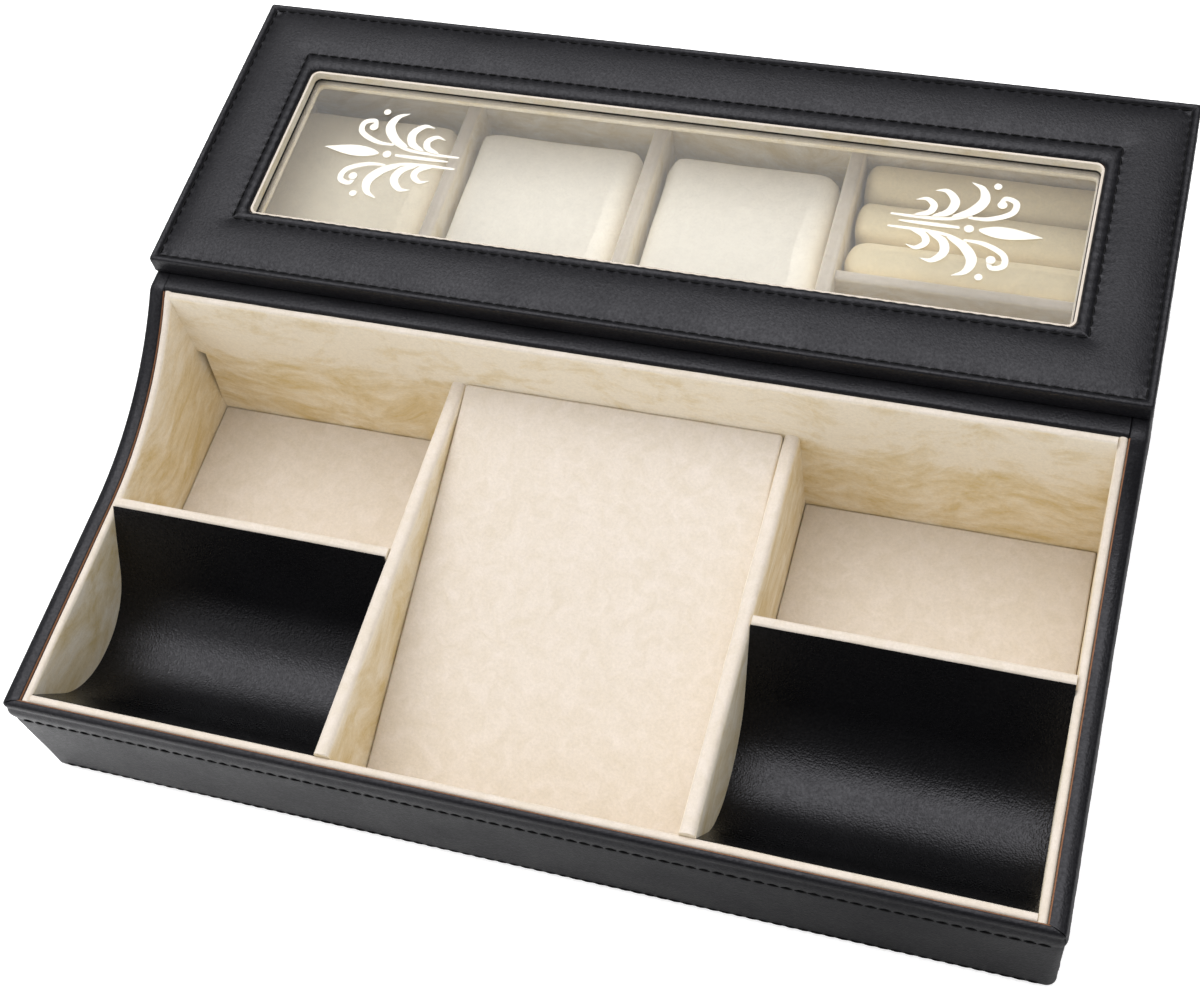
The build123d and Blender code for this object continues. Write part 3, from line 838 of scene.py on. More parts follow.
def lid_rows():
    """The lid's section as rows of (kind, share, corner radius, height below the top)."""
    edge = ((0.14, 0.5, -6.7), (0.04, 0.6, -6.5), (0.0, 0.6, -6.1), (0.0, 0.7, -4.8), (0.0, 0.7, -3.0),
            (-0.01, 0.7, -1.2), (0.01, 0.7, -0.6), (0.06, 0.7, -0.24), (0.15, 0.7, -0.04), (0.3, 0.7, 0.05),
            (0.5, 0.6, 0.0), (0.68, 0.5, -0.17), (0.84, 0.4, -0.5), (0.94, 0.3, -0.82),
            (1.0, 0.2, -LID_GROOVE))
    even = [i / FIELD_ROWS for i in range(1, FIELD_ROWS)]
    field = [(share - 0.12 * math.sin(2 * math.pi * share), 0.0, -LID_GROOVE) for share in even]
    roll = ((0.0, 0.2, -LID_GROOVE), (0.05, 0.3, -0.85), (0.13, 0.5, -0.62), (0.25, 0.9, -0.38),
            (0.45, 1.4, -0.2), (0.65, 1.8, -0.24), (0.80, 2.1, -0.46), (0.91, 2.3, -0.82),
            (0.965, 2.45, -1.2), (0.99, 2.5, -CUT_DEPTH), (1.0, 2.5, -2.2), (1.0, 2.5, -4.7))
    rebate = ((4.1, 2.5, -4.7), (4.1, 2.5, -6.7))
    parts = (("edge", edge), ("field", field), ("roll", roll), ("rebate", rebate))
    return [(kind, *row) for kind, rows in parts for row in rows]


def lid_places(form, pitch):
    """Stations round the lid, the same share of each side on every ring, with more at the corners."""
    places = []
    lengths = [2 * form.high.x, form.high.y - form.low.y] * 2
    for side, length in enumerate(lengths):
        count = round(length / pitch) * STITCH_STEPS
        near = [d / length for d in (0.15, 0.4, 0.8, 1.2, 1.8)]
        shares = [i / count for i in range(count)] + near + [1 - d for d in near]
        places += [(side, share) for share in sorted(shares)]
    return places


def even_pitch(length, pitch):
    """The pitch nearest to that one which divides the length."""
    return length / round(length / pitch)


def lid_board_piece(swell, pitch, finish):
    """The lid's leather: rolled edge, two sewn seams, a padded field between them, the window roll."""
    form = LidForm()
    places = lid_places(form, pitch)
    top = form.high.z
    leaf_seat = form.low.z + LEAF_SEAT
    leaves = [span(side + "_hinge_lid_leaf") for side in ("left", "right")]
    leaf_reach = 12
    rows = lid_rows()
    pitches = {}
    for kind in ("outer", "inner"):
        half, front, back = form.seam(kind)
        pitches[kind] = (half, front, even_pitch(2 * half, pitch), even_pitch(back - front, pitch))

    def rise(x, y, side, height):
        """How the stuffing lifts the field, and how the stitches draw the leather in."""
        outer = form.from_outer(x, y)
        inner = form.from_inner(x, y)
        from_groove = [1 - (1 - min(away / FIELD_RISE, 1)) ** 2.3 for away in (outer, inner)]
        lift = from_groove[0] * from_groove[1] * swell
        wave = 0.16 * noise.noise(Vector((x / 20, y / 20, 2.0)))
        lift += wave * min(outer / WAVE_RISE, 1) * min(inner / WAVE_RISE, 1)
        beside = (LID_GROOVE + height) * 1.4
        for kind, away in (("outer", outer), ("inner", inner)):
            away = away if away > 0 else beside
            start_x, start_y, pitch_x, pitch_y = pitches[kind]
            phase = (x + start_x) / pitch_x if side % 2 == 0 else (y - start_y) / pitch_y
            strength = 0.1 * math.exp(-(away / NEEDLE_HOLE) ** 2) + 0.05 * math.exp(-away / 2.2)
            lift += strength * math.cos(2 * math.pi * phase)
        return lift

    rings = []
    for kind, share, radius, height in rows:
        ring = []
        for (side, _), (x, y) in zip(places, form.ring(form.inset(kind, share), radius, places)):
            z = top + height
            if height > -1.2 and share < 1.01:
                z += rise(x, y, side, height)
            if y > form.high.y - leaf_reach and at_leaf(x, leaves):
                z = max(z, leaf_seat)
            ring.append(Vector((x, y, z)))
        rings.append(ring)
    piece = skin_piece("lid_board_leather", rings, finish, closed=True)
    piece.data.materials.append(cut_edge())
    first = [height for _, _, _, height in rows].index(-CUT_DEPTH) * len(places)
    for face in piece.data.polygons[first:first + len(places)]:
        face.material_index = 1
    return settle(piece, "lid", "black_leather", "lid_board")


SHARPEST = 0.3              # smallest corner radius of a strip round the window
STRIP_PITCH = 20.0          # such a strip has six rows of points in this length


def window_ring(name, section, corner, finish, slot):
    """A thin closed strip round the window. Its section holds (reach into the window, height)."""
    form = LidForm()
    places = lid_places(form, STRIP_PITCH)
    rings = []
    for reach, height in section:
        inset = {side: width + reach for side, width in form.width.items()}
        ring = form.ring(inset, max(corner - reach, SHARPEST), places)
        rings.append([Vector((x, y, height)) for x, y in ring])
    return settle(skin_piece(name, rings, finish, closed=True), "lid", slot)


def window_strips():
    """A dark strip of painted shadow between glass and cloth, and the cloth's fold round the panel under the
    glass.
    """
    glass_low, glass_high = span("lid_glass")
    # Painted shadow: a dark strip where the glass meets the cloth, for the shade in that gap.
    shadow_strip = plain_matter("painted_shadow_strip", linear("#1d1a16"), linear("#2c2822"), 2.0, 0.05, 0.9)
    cloth = 0.75
    z = glass_high.z
    section = ((cloth, z - 0.02), (cloth, z + 0.4), (cloth + 0.25, z + 0.34), (cloth + 0.45, z - 0.02))
    window_ring("window_shadow_strip", section, 3.0, shadow_strip, "black_felt")
    z = glass_low.z
    section = ((-0.3, z - 0.1), (1.2, z - 0.1), (1.65, z - 0.35), (1.85, z - 0.8), (1.85, z - 1.8),
               (1.6, z - 2.6), (1.0, z - 3.0), (-0.3, z - 3.1))
    window_ring("panel_edge_cloth", section, 3.5, board_suede(), "cream_suede")


# Stitches

def attribute_of(tree, name, kind):
    """The output of a node that reads this attribute."""
    node = add(tree, "GeometryNodeInputNamedAttribute", {"Name": name}, data_type=kind)
    return next(o for o in node.outputs if o.enabled and o.name == "Attribute")


def new_tree(name, shapes, floats, material, made):
    """An empty geometry tree with its named inputs, and the outputs of its input node."""
    tree = bpy.data.node_groups.new(name, "GeometryNodeTree")
    for key, way, kind in [(shapes, "INPUT", "Geometry"), *[(key, "INPUT", "Float") for key in floats],
                           (material, "INPUT", "Material"), (made, "OUTPUT", "Geometry")]:
        tree.interface.new_socket(key, in_out=way, socket_type="NodeSocket" + kind)
    return tree, add(tree, "NodeGroupInput").outputs


def seam_tree():
    """Geometry nodes: one arched stitch of thread at every pitch along each seam line."""
    tree, given = new_tree("stitches_along_seams", "Seams", ("Length", "Thickness"), "Thread", "Stitches")
    curves = add(tree, "GeometryNodeMeshToCurve", {"Mesh": given["Seams"]}).outputs["Curve"]
    count = attribute_of(tree, "count", "INT")
    spots = add(tree, "GeometryNodeResampleCurve", {"Curve": curves, "Count": count}).outputs["Curve"]
    heading = add(tree, "GeometryNodeInputTangent").outputs["Tangent"]
    up = attribute_of(tree, "up", "FLOAT_VECTOR")
    lying = add(tree, "FunctionNodeAlignRotationToVector", {"Vector": heading}, axis="X").outputs["Rotation"]
    facing = add(tree, "FunctionNodeAlignRotationToVector", {
        "Rotation": lying, "Vector": up,
    }, axis="Z", pivot_axis="X").outputs["Rotation"]
    half, back, radius, sink, rise = [
        add(tree, "ShaderNodeMath", {0: given[key], 1: share}, operation="MULTIPLY").outputs[0]
        for key, share in (("Length", 0.5), ("Length", -0.5), ("Thickness", 0.5), ("Thickness", -0.15),
                           ("Thickness", 0.45))]
    start = add(tree, "ShaderNodeCombineXYZ", {"X": back, "Z": sink}).outputs[0]
    middle = add(tree, "ShaderNodeCombineXYZ", {"Z": rise}).outputs[0]
    end = add(tree, "ShaderNodeCombineXYZ", {"X": half, "Z": sink}).outputs[0]
    arch = add(tree, "GeometryNodeCurveQuadraticBezier", {
        "Resolution": 6, "Start": start, "Middle": middle, "End": end,
    }).outputs["Curve"]
    round_thread = add(tree, "GeometryNodeCurvePrimitiveCircle", {
        "Resolution": 6, "Radius": radius,
    }).outputs["Curve"]
    stitch = add(tree, "GeometryNodeCurveToMesh", {
        "Curve": arch, "Profile Curve": round_thread, "Fill Caps": True,
    }).outputs["Mesh"]
    uneven = add(tree, "FunctionNodeRandomValue", {
        RANDOM_LOW: 0.88, RANDOM_HIGH: 1.06, "Seed": 4,
    }, data_type="FLOAT").outputs[RANDOM]
    size = add(tree, "ShaderNodeCombineXYZ", {"X": uneven, "Y": 1.0, "Z": 1.0}).outputs[0]
    row = add(tree, "GeometryNodeInstanceOnPoints", {
        "Points": spots, "Instance": stitch, "Rotation": facing, "Scale": size,
    }).outputs["Instances"]
    real = add(tree, "GeometryNodeRealizeInstances", {"Geometry": row}).outputs["Geometry"]
    sewn = add(tree, "GeometryNodeSetMaterial", {"Geometry": real, "Material": given["Thread"]}).outputs[0]
    add(tree, "NodeGroupOutput", {"Stitches": sewn})
    return tree


def screw_tree():
    """Geometry nodes: a slotted screw head on every point, facing its way."""
    tree, given = new_tree("screws_on_leaves", "Places", ("Radius", "Height"), "Metal", "Screws")
    up = attribute_of(tree, "up", "FLOAT_VECTOR")
    facing = add(tree, "FunctionNodeAlignRotationToVector", {"Vector": up}, axis="Z").outputs["Rotation"]
    rim, length, wide = [
        add(tree, "ShaderNodeMath", {0: given["Radius"], 1: share}, operation="MULTIPLY").outputs[0]
        for share in (0.8, 3.0, 0.35)]
    head = add(tree, "GeometryNodeMeshCone", {
        "Vertices": 24, "Radius Top": rim, "Radius Bottom": given["Radius"], "Depth": given["Height"],
    }).outputs["Mesh"]
    cutter = add(tree, "ShaderNodeCombineXYZ", {"X": length, "Y": wide, "Z": given["Height"]}).outputs[0]
    bar = add(tree, "GeometryNodeMeshCube", {"Size": cutter}).outputs["Mesh"]
    lift = add(tree, "ShaderNodeCombineXYZ", {"Z": given["Height"]}).outputs[0]
    raised = add(tree, "GeometryNodeTransform", {"Geometry": bar, "Translation": lift}).outputs["Geometry"]
    slotted = add(tree, "GeometryNodeMeshBoolean", operation="DIFFERENCE")
    tree.links.new(head, slotted.inputs[0])
    tree.links.new(raised, slotted.inputs[1])
    spread = add(tree, "GeometryNodeInstanceOnPoints", {
        "Points": given["Places"], "Instance": slotted.outputs["Mesh"], "Rotation": facing,
    }).outputs["Instances"]
    real = add(tree, "GeometryNodeRealizeInstances", {"Geometry": spread}).outputs["Geometry"]
    done = add(tree, "GeometryNodeSetMaterial", {"Geometry": real, "Material": given["Metal"]}).outputs[0]
    add(tree, "NodeGroupOutput", {"Screws": done})
    return tree


def grown(name, tree, runs, values, finish):
    """A plain mesh piece: the tree run on lines or points, each with its outward direction."""
    points = []
    edges = []
    ups = []
    counts = []
    for count, run in runs:
        first = len(points)
        for p, up in run:
            points.append(Vector(p) * MM)
            ups += list(up)
            counts.append(count)
        edges += [(i, i + 1) for i in range(first, len(points) - 1)]
    mesh = bpy.data.meshes.new(name + "_lines")
    mesh.from_pydata(points, edges, [])
    mesh.attributes.new("up", "FLOAT_VECTOR", "POINT").data.foreach_set("vector", ups)
    mesh.attributes.new("count", "INT", "POINT").data.foreach_set("value", counts)
    guide = bpy.data.objects.new(name + "_lines", mesh)
    bpy.context.scene.collection.objects.link(guide)
    modifier = guide.modifiers.new("grow", "NODES")
    modifier.node_group = tree
    sockets = {s.name: s.identifier for s in tree.interface.items_tree if s.in_out == "INPUT"}
    for key, value in values.items():
        modifier[sockets[key]] = value
    bpy.context.view_layer.update()
    graph = bpy.context.evaluated_depsgraph_get()
    made = bpy.data.meshes.new_from_object(guide.evaluated_get(graph))
    if not made.polygons:
        raise RuntimeError(name + " came out empty")
    bpy.data.objects.remove(guide)
    return link_piece(name, made, finish)


def wall_seams(pitch):
    """The seams below the rim and along the foot of all four walls, from just beside the corners."""
    runs = []
    for node in ("front_wall", "right_side_wall", "back_wall", "left_side_wall"):
        wall = Wall(node)
        count = round(wall.total / pitch)
        step = wall.total / count
        upper = []
        lower = []
        for i in range(2, count * 2 - 3):
            s = step / 2 + i * step / 2
            outer, normal, _ = wall.at(s, STITCH_DROP)
            top, level = wall.rim(outer.y)
            p = outer - normal * (SEAM_SINK - THREAD_LIFT)
            upper.append((Vector((p.x, p.y, top - STITCH_DROP / level)), normal))
            foot = wall.bottom + FOOT_SEAM
            outer, normal, _ = wall.at(s, top - foot)
            p = outer - normal * FOOT_SINK
            lower.append((Vector((p.x, p.y, foot)), normal))
        runs += [(count - 2, upper), (count - 2, lower)]
    return runs


def lid_seams(pitch):
    """The two seams on the lid, each four straight lines with square corners."""
    form = LidForm()
    runs = []
    for kind in ("outer", "inner"):
        x, y0, y1 = form.seam(kind)
        z = form.high.z - LID_THREAD
        corners = [Vector((-x, y0, z)), Vector((x, y0, z)), Vector((x, y1, z)), Vector((-x, y1, z))]
        for a, b in zip(corners, corners[1:] + corners[:1]):
            step = even_pitch((b - a).length, pitch)
            edge = (b - a).normalized() * step / 2
            runs.append((round((b - a).length / step), [(a + edge, (0, 0, 1)), (b - edge, (0, 0, 1))]))
    return runs


# Troughs

TROUGH_STEPS = (2.2, 1.6)       # mesh size of a trough along X, and round its outline
TROUGH_DRIFT = (24.0, 0.13)     # length and height of the waves in its skin


def trough_section(node):
    """The closed outline of a trough's end, read from its node, in (y, z)."""
    work = bmesh.new()
    work.from_mesh(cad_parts[node].data)
    bmesh.ops.remove_doubles(work, verts=work.verts, dist=0.001 * MM)
    edge_x = max(v.co.x for v in work.verts)
    at_end = [f for f in work.faces if all(abs(v.co.x - edge_x) < 0.01 * MM for v in f.verts)]
    rim = {}
    for face in at_end:
        for edge in face.edges:
            if sum(other in at_end for other in edge.link_faces) == 1:
                a, b = edge.verts
                rim.setdefault(a, []).append(b)
                rim.setdefault(b, []).append(a)
    start = next(iter(rim))
    path = [start]
    before, now = start, rim[start][0]
    while now is not start:
        path.append(now)
        ahead = [v for v in rim[now] if v is not before]
        before, now = now, ahead[0]
    outline = [(v.co.y / MM, v.co.z / MM) for v in path]
    work.free()
    dense = []
    for (y0, z0), (y1, z1) in zip(outline, outline[1:] + outline[:1]):
        count = max(1, math.ceil(math.hypot(y1 - y0, z1 - z0) / TROUGH_STEPS[1]))
        dense += [(y0 + (y1 - y0) * i / count, z0 + (z1 - z0) * i / count) for i in range(count)]
    return dense


def trough_piece(node, finish):
    """A trough's leather skin, stretched over its bed with a slightly uneven hand."""
    low, high = span(node)
    outline = trough_section(node)
    count = math.ceil((high.x - low.x) / TROUGH_STEPS[0])
    rings = []
    for i in range(count + 1):
        x = low.x + (high.x - low.x) * i / count
        ring = []
        for y, z in outline:
            p = Vector((x, y, z))
            ring.append(p + drift_of(p, *TROUGH_DRIFT))
        rings.append(ring)
    return settle(skin_piece(node + "_leather", rings, finish), "box", "black_leather", node)


# Suede boards

def tray_side_bend(node):
    """Bends a straight lining so that its top follows the swept rim."""
    low, high = span(node)
    wall = Wall("right_side_wall")
    step_down = wall.high_rim - high.z

    def bend(p):
        top, _ = wall.rim(p.y)
        drop = high.z - (top - step_down)
        share = min(max((p.z - low.z) / (high.z - 6 - low.z), 0), 1)
        return Vector((p.x, p.y, p.z - drop * share))

    return bend


def notched_bend(node, width, top, foot):
    """Draws the lining's left end in, as a slot that narrows towards its foot."""
    low, _ = span(node)
    reach = width + 4

    def bend(p):
        if not foot < p.z < top or p.x > low.x + reach:
            return p
        depth = width * (p.z - foot) / (top - foot)
        return Vector((low.x + depth + (p.x - low.x) * (reach - depth) / reach, p.y, p.z))

    return bend


def ramp_bend(node, front_height):
    """Shears a level panel up to its slope."""
    low, high = span(node)
    slope = (high.z - front_height) / (high.y - low.y)

    def bend(p):
        return Vector((p.x, p.y, p.z + slope * (p.y - low.y)))

    return bend


def suede_piece(node, soft, fold=1.0, bend=None, inset=0.0, step=4.0):
    """A covered board in the place of its node. fold is a share of the usual rounding, and inset
    draws its four sides in."""
    low, high = span(node)
    low = low + Vector((inset, inset, 0))
    high = high - Vector((inset, inset, 0))
    radius = settings().suede.edge / MM * fold
    piece = rounded_board(node + "_cloth", low, high, radius, soft, board_suede(), bend, step)
    return settle(piece, "box", "cream_suede", node)


# Cushions

CLOTH_STIFFNESS = 30        # of the velvet against stretch and against crumpling
CLOTH_SHEAR = 15            # and against shear
CLOTH_MOMENTS = 20          # frames that the stuffing takes to settle
SAME_VERTEX = 0.002         # corners closer than this are one
CUSHION_DRIFT = (19.0, 0.35)    # length and height of the waves in a cushion


def stuffed(node, name, slot, body, finish, shrink):
    """A velvet cushion: the node's form remeshed, blown up by a cloth simulation and smoothed.
    shrink is how far its form is drawn in first on each side along X, Y and Z."""
    c = settings().cushions
    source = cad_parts[node]
    mesh = source.data.copy()
    work = bmesh.new()
    work.from_mesh(mesh)
    bmesh.ops.remove_doubles(work, verts=work.verts, dist=SAME_VERTEX * MM)
    bmesh.ops.recalc_face_normals(work, faces=work.faces)
    low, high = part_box(node)
    centre = (low + high) / 2
    for v in work.verts:
        out = v.co - centre
        v.co = centre + Vector([out[k] * (1 - 2 * shrink[k] * MM / (high[k] - low[k])) for k in range(3)])
    work.to_mesh(mesh)
    work.free()
    piece = link_piece(name, mesh, finish)
    remesh = piece.modifiers.new("even_mesh", "REMESH")
    remesh.mode = "VOXEL"
    remesh.voxel_size = c.voxel
    remesh.use_smooth_shade = True
    bake_modifiers(piece)
    before = [v.co.copy() for v in piece.data.vertices]
    cloth = piece.modifiers.new("stuffing", "CLOTH")
    cloth.settings.use_pressure = True
    cloth.settings.uniform_pressure_force = c.pressure
    cloth.settings.tension_stiffness = CLOTH_STIFFNESS
    cloth.settings.compression_stiffness = CLOTH_STIFFNESS
    cloth.settings.shear_stiffness = CLOTH_SHEAR
    cloth.settings.effector_weights.gravity = 0
    for moment in range(1, CLOTH_MOMENTS + 1):
        bpy.context.scene.frame_set(moment)
    bake_modifiers(piece)
    bpy.context.scene.frame_set(1)
    floor = low.z + shrink[2] * MM
    for v, origin in zip(piece.data.vertices, before):
        move = v.co - origin
        if move.length > c.cap:
            v.co = origin + move * (c.cap / move.length)
        v.co += drift_of(v.co / MM, *CUSHION_DRIFT) * MM
        v.co.x = min(max(v.co.x, low.x - c.spare), high.x + c.spare)
        v.co.z = max(v.co.z, floor)
    finer = piece.modifiers.new("smooth", "SUBSURF")
    finer.levels = 1
    finer.render_levels = 1
    bake_modifiers(piece)
    settle(piece, body, slot, node)
    return piece


def bake_modifiers(piece):
    """Keeps the piece's mesh as its modifiers leave it, and takes them off."""
    bpy.context.view_layer.update()
    graph = bpy.context.evaluated_depsgraph_get()
    finished = bpy.data.meshes.new_from_object(piece.evaluated_get(graph))
    piece.modifiers.clear()
    old = piece.data
    piece.data = finished
    bpy.data.meshes.remove(old)


# Ornament

def smooth_line(points, count):
    """A smooth line through a few points."""
    ends = [2 * Vector(points[0]) - Vector(points[1])] + [Vector(p) for p in points]
    ends.append(2 * Vector(points[-1]) - Vector(points[-2]))
    line = []
    for a, b, c, d in zip(ends, ends[1:], ends[2:], ends[3:]):
        for i in range(count):
            t = i / count
            line.append(0.5 * (2 * b + (c - a) * t + (2 * a - 5 * b + 4 * c - d) * t * t
                               + (3 * b - a - 3 * c + d) * t ** 3))
    line.append(ends[-2])
    return line


def stroke(points, widths):
    """Left and right edges of a stroke: its widths at both ends, and what its belly adds."""
    line = smooth_line(points, STROKE_STEPS)
    first, belly, last = widths
    left = []
    right = []
    for i, p in enumerate(line):
        t = i / (len(line) - 1)
        ahead = line[min(i + 1, len(line) - 1)] - line[max(i - 1, 0)]
        side = Vector((-ahead.y, ahead.x)).normalized()
        width = first * (1 - t) + last * t + belly * math.sin(math.pi * t ** 0.8)
        left.append(p + side * width / 2)
        right.append(p - side * width / 2)
    return left, right


# A leafy spray of the plain kind that sign writers use. Its strokes are in millimetres from its
# middle, with the tip towards +X, and each is drawn on both sides of the stem.
SPRAY = [
    ([(-23.5, 2.5), (-14, 2.5), (-5, 3.2), (1.5, 5.6)], (0.7, 0.5, 0.9)),
    ([(0.5, 4.4), (7, 5.0), (13.2, 8.2), (14.0, 12.4), (10.6, 13.8), (9.2, 11.4)], (0.7, 1.1, 1.3)),
    ([(-4.5, 4.0), (1.0, 7.0), (4.2, 11.8), (3.0, 16.4), (-0.8, 18.6)], (0.6, 3.0, 0.2)),
    ([(-10.5, 3.3), (-5.8, 5.8), (-4.6, 10.2), (-7.6, 13.8), (-11.4, 13.6)], (0.5, 2.6, 0.2)),
    ([(-16.0, 3.0), (-11.8, 4.6), (-10.8, 7.6), (-13.4, 9.8), (-16.6, 9.0)], (0.5, 2.0, 0.2)),
]
STEM = ([(-20.5, 0), (-10, 0), (-1.5, 0)], (0.5, 0.7, 1.0))
SPEAR = ([(4.5, 0), (14.0, 0), (24, 0)], (0.7, 4.2, 0.1))
BUDS = [(1.4, 0.0, 1.5), (7.4, 18.0, 1.25), (9.9, 10.9, 1.5)]
SPRAY_LENGTH = 48           # from the open end of the drawn spray to its tip
STROKE_STEPS = 9            # points of a stroke from one of its given points to the next
BUD_SIDES = 20
FROST = 0.05                # thickness of the frosted layer
FROST_GAP = 0.01            # its height over the glass
FROST_STEP = 0.0002         # each face made before a stroke raises it this much more


def ornament(name, centre, facing, size, finish):
    """One frosted spray on the glass, pointing left or right."""
    z = span("lid_glass")[1].z
    points = []
    faces = []

    def flat_shape(outline):
        """The side faces of one flat shape. Returns its first point and its number of points."""
        first = len(points)
        count = len(outline)
        base = z + FROST_GAP + len(faces) * FROST_STEP
        for level in (base, base + FROST):
            for u, v in outline:
                points.append(Vector((centre[0] + facing * u * size, centre[1] + v * size, level)))
        for i in range(count):
            j = (i + 1) % count
            faces.append((first + i, first + j, first + count + j, first + count + i))
        return first, count

    def ribbon(mirrored, path, widths):
        """A stroke with its lower and upper faces."""
        left, right = stroke([(u, v * mirrored) for u, v in path], widths)
        first, count = flat_shape(left + right[::-1])
        rows = len(left)
        for level in (0, count):
            for i in range(rows - 1):
                a = first + level
                faces.append((a + i, a + i + 1, a + count - 2 - i, a + count - 1 - i))

    for path, widths in SPRAY + [STEM, SPEAR]:
        ribbon(1, path, widths)
        if any(v for _, v in path):
            ribbon(-1, path, widths)
    for u, v, radius in BUDS:
        for side in {v, -v}:
            turns = [a * math.tau / BUD_SIDES for a in range(BUD_SIDES)]
            circle = [(u + radius * math.cos(a), side + radius * math.sin(a)) for a in turns]
            first, count = flat_shape(circle)
            faces.append(tuple(first + i for i in range(count)))
            faces.append(tuple(first + count + i for i in range(count)))
    piece = new_piece(name, points, faces, finish)
    return settle(piece, "lid", "clear_glass")


# Operators

class VALETBOX_OT_leather_walls(bpy.types.Operator):
    """Wrap the four outer walls and the wall before the lid in leather"""

    bl_idname = "valetbox.leather_walls"
    bl_label = "Leather walls"

    middle_fold = 1.5

    def execute(self, context):
        s = settings()
        for node in ("front_wall", "left_side_wall", "right_side_wall", "back_wall"):
            wall_piece(node, s.leather.rim_swell / MM, s.stitches.pitch / MM, box_leather())
        low, high = span("middle_wall")
        piece = rounded_board("middle_wall_leather", low, high, self.middle_fold, "yYZ", box_leather(),
                              step=3.0, uneven=0.16)
        settle(piece, "box", "black_leather", "middle_wall")
        return {"FINISHED"}


class VALETBOX_OT_lid_leather(bpy.types.Operator):
    """Wrap the padded lid round its window"""

    bl_idname = "valetbox.lid_leather"
    bl_label = "Lid leather"

    def execute(self, context):
        s = settings()
        lid_board_piece(s.leather.lid_swell / MM, s.stitches.pitch / MM, box_leather())
        return {"FINISHED"}


class VALETBOX_OT_stitches(bpy.types.Operator):
    """Sew the seams of the walls and the lid"""

    bl_idname = "valetbox.stitches"
    bl_label = "Stitches"

    def execute(self, context):
        s = settings().stitches
        light = [c * 2.4 for c in s.colour]
        thread = plain_matter("bonded_thread", s.colour, light, 1.2, 0.08, 0.7, shine=0.2)
        tree = seam_tree()
        for name, body, runs in (("rim_stitches", "box", wall_seams(s.pitch / MM)),
                                 ("lid_stitches", "lid", lid_seams(s.pitch / MM))):
            values = {"Length": s.length, "Thickness": s.thickness, "Thread": thread}
            settle(grown(name, tree, runs, values, thread), body, "black_leather")
        return {"FINISHED"}


class VALETBOX_OT_troughs(bpy.types.Operator):
    """Line the two troughs with leather"""

    bl_idname = "valetbox.troughs"
    bl_label = "Troughs"

    def execute(self, context):
        for side in ("left", "right"):
            trough_piece(side + "_trough", trough_leather())
        return {"FINISHED"}


class VALETBOX_OT_tray_boards(bpy.types.Operator):
    """Cover the tray's linings, dividers, partitions and floor pads in suede"""

    bl_idname = "valetbox.tray_boards"
    bl_label = "Tray boards"

    notch_width = 3.0
    notch_top = 42.0
    notch_foot = 13.0

    def execute(self, context):
        suede_piece("tray_front_lining", "yYZ")
        notch = notched_bend("tray_back_lining", self.notch_width, self.notch_top, self.notch_foot)
        suede_piece("tray_back_lining", "yYZ", bend=notch, step=1.5)
        for side in ("left_", "right_"):
            lining = side + "tray_side_lining"
            suede_piece(lining, "xXZ", bend=tray_side_bend(lining), step=2.0)
            suede_piece(side + "tray_divider", "xXZ", 1.7)
            suede_piece(side + "cross_partition", "yYZ", 1.2)
            suede_piece(side + "tray_floor_pad", "xXyYZ", 0.7, inset=settings().suede.ease / MM)
        return {"FINISHED"}


class VALETBOX_OT_sloping_panel(bpy.types.Operator):
    """Cover the sloping panel between the dividers"""

    bl_idname = "valetbox.sloping_panel"
    bl_label = "Sloping panel"

    thickness = 3.5
    front_height = 13.5

    def execute(self, context):
        s = settings().suede
        low, high = span("ramp_panel")
        ease = s.ease / MM
        low = Vector((low.x + ease, low.y, self.front_height - self.thickness))
        high = Vector((high.x - ease, high.y - ease, self.front_height))
        bend = ramp_bend("ramp_panel", self.front_height)
        piece = rounded_board("ramp_panel_cloth", low, high, s.edge / MM, "xXYZ", board_suede(), bend)
        settle(piece, "box", "cream_suede", "ramp_panel")
        return {"FINISHED"}


class VALETBOX_OT_case_boards(bpy.types.Operator):
    """Cover the linings, dividers, floor and ring board of the watch case"""

    bl_idname = "valetbox.case_boards"
    bl_label = "Case boards"

    def execute(self, context):
        for side, soft in (("front", "yYZ"), ("back", "yYZ"), ("left", "xXZ"), ("right", "xXZ")):
            suede_piece("case_" + side + "_lining", soft)
        for side in ("left", "middle", "right"):
            suede_piece(side + "_watch_divider", "xXZ", 1.7)
        suede_piece("ring_board", "yYZ", 1.4)
        suede_piece("case_floor_pad", "xXyYZ", 0.7)
        refinish(board_suede(), "window_edge_lining", "lid_inner_panel")
        return {"FINISHED"}


class VALETBOX_OT_watch_pillows(bpy.types.Operator):
    """Stuff the three watch pillows"""

    bl_idname = "valetbox.watch_pillows"
    bl_label = "Watch pillows"

    def execute(self, context):
        c = settings().cushions
        # Painted light and shade: the same velvet in a warmer tone on the left pillow and a paler one on the
        # others.
        shades = {"left": c.velvet, "middle": c.pale_velvet, "right": c.pale_velvet}
        for place, colour in shades.items():
            cover = velvet(place + "_pillow_velvet", colour)
            stuffed(place + "_watch_pillow", place + "_watch_pillow_velvet", "cream_velvet",
                    place + "_pillow", cover, (0.2, 0.8, 0.7))
        return {"FINISHED"}


class VALETBOX_OT_ring_pads(bpy.types.Operator):
    """Stuff the rolls that grip rings"""

    bl_idname = "valetbox.ring_pads"
    bl_label = "Ring pads"

    def execute(self, context):
        cover = velvet("ring_pad_velvet", settings().cushions.pad_velvet)
        for index in (1, 2, 3):
            node = "ring_pad_" + str(index)
            stuffed(node, node + "_velvet", "cream_velvet", "box", cover, (0.5, 0.5, 0.4))
        return {"FINISHED"}


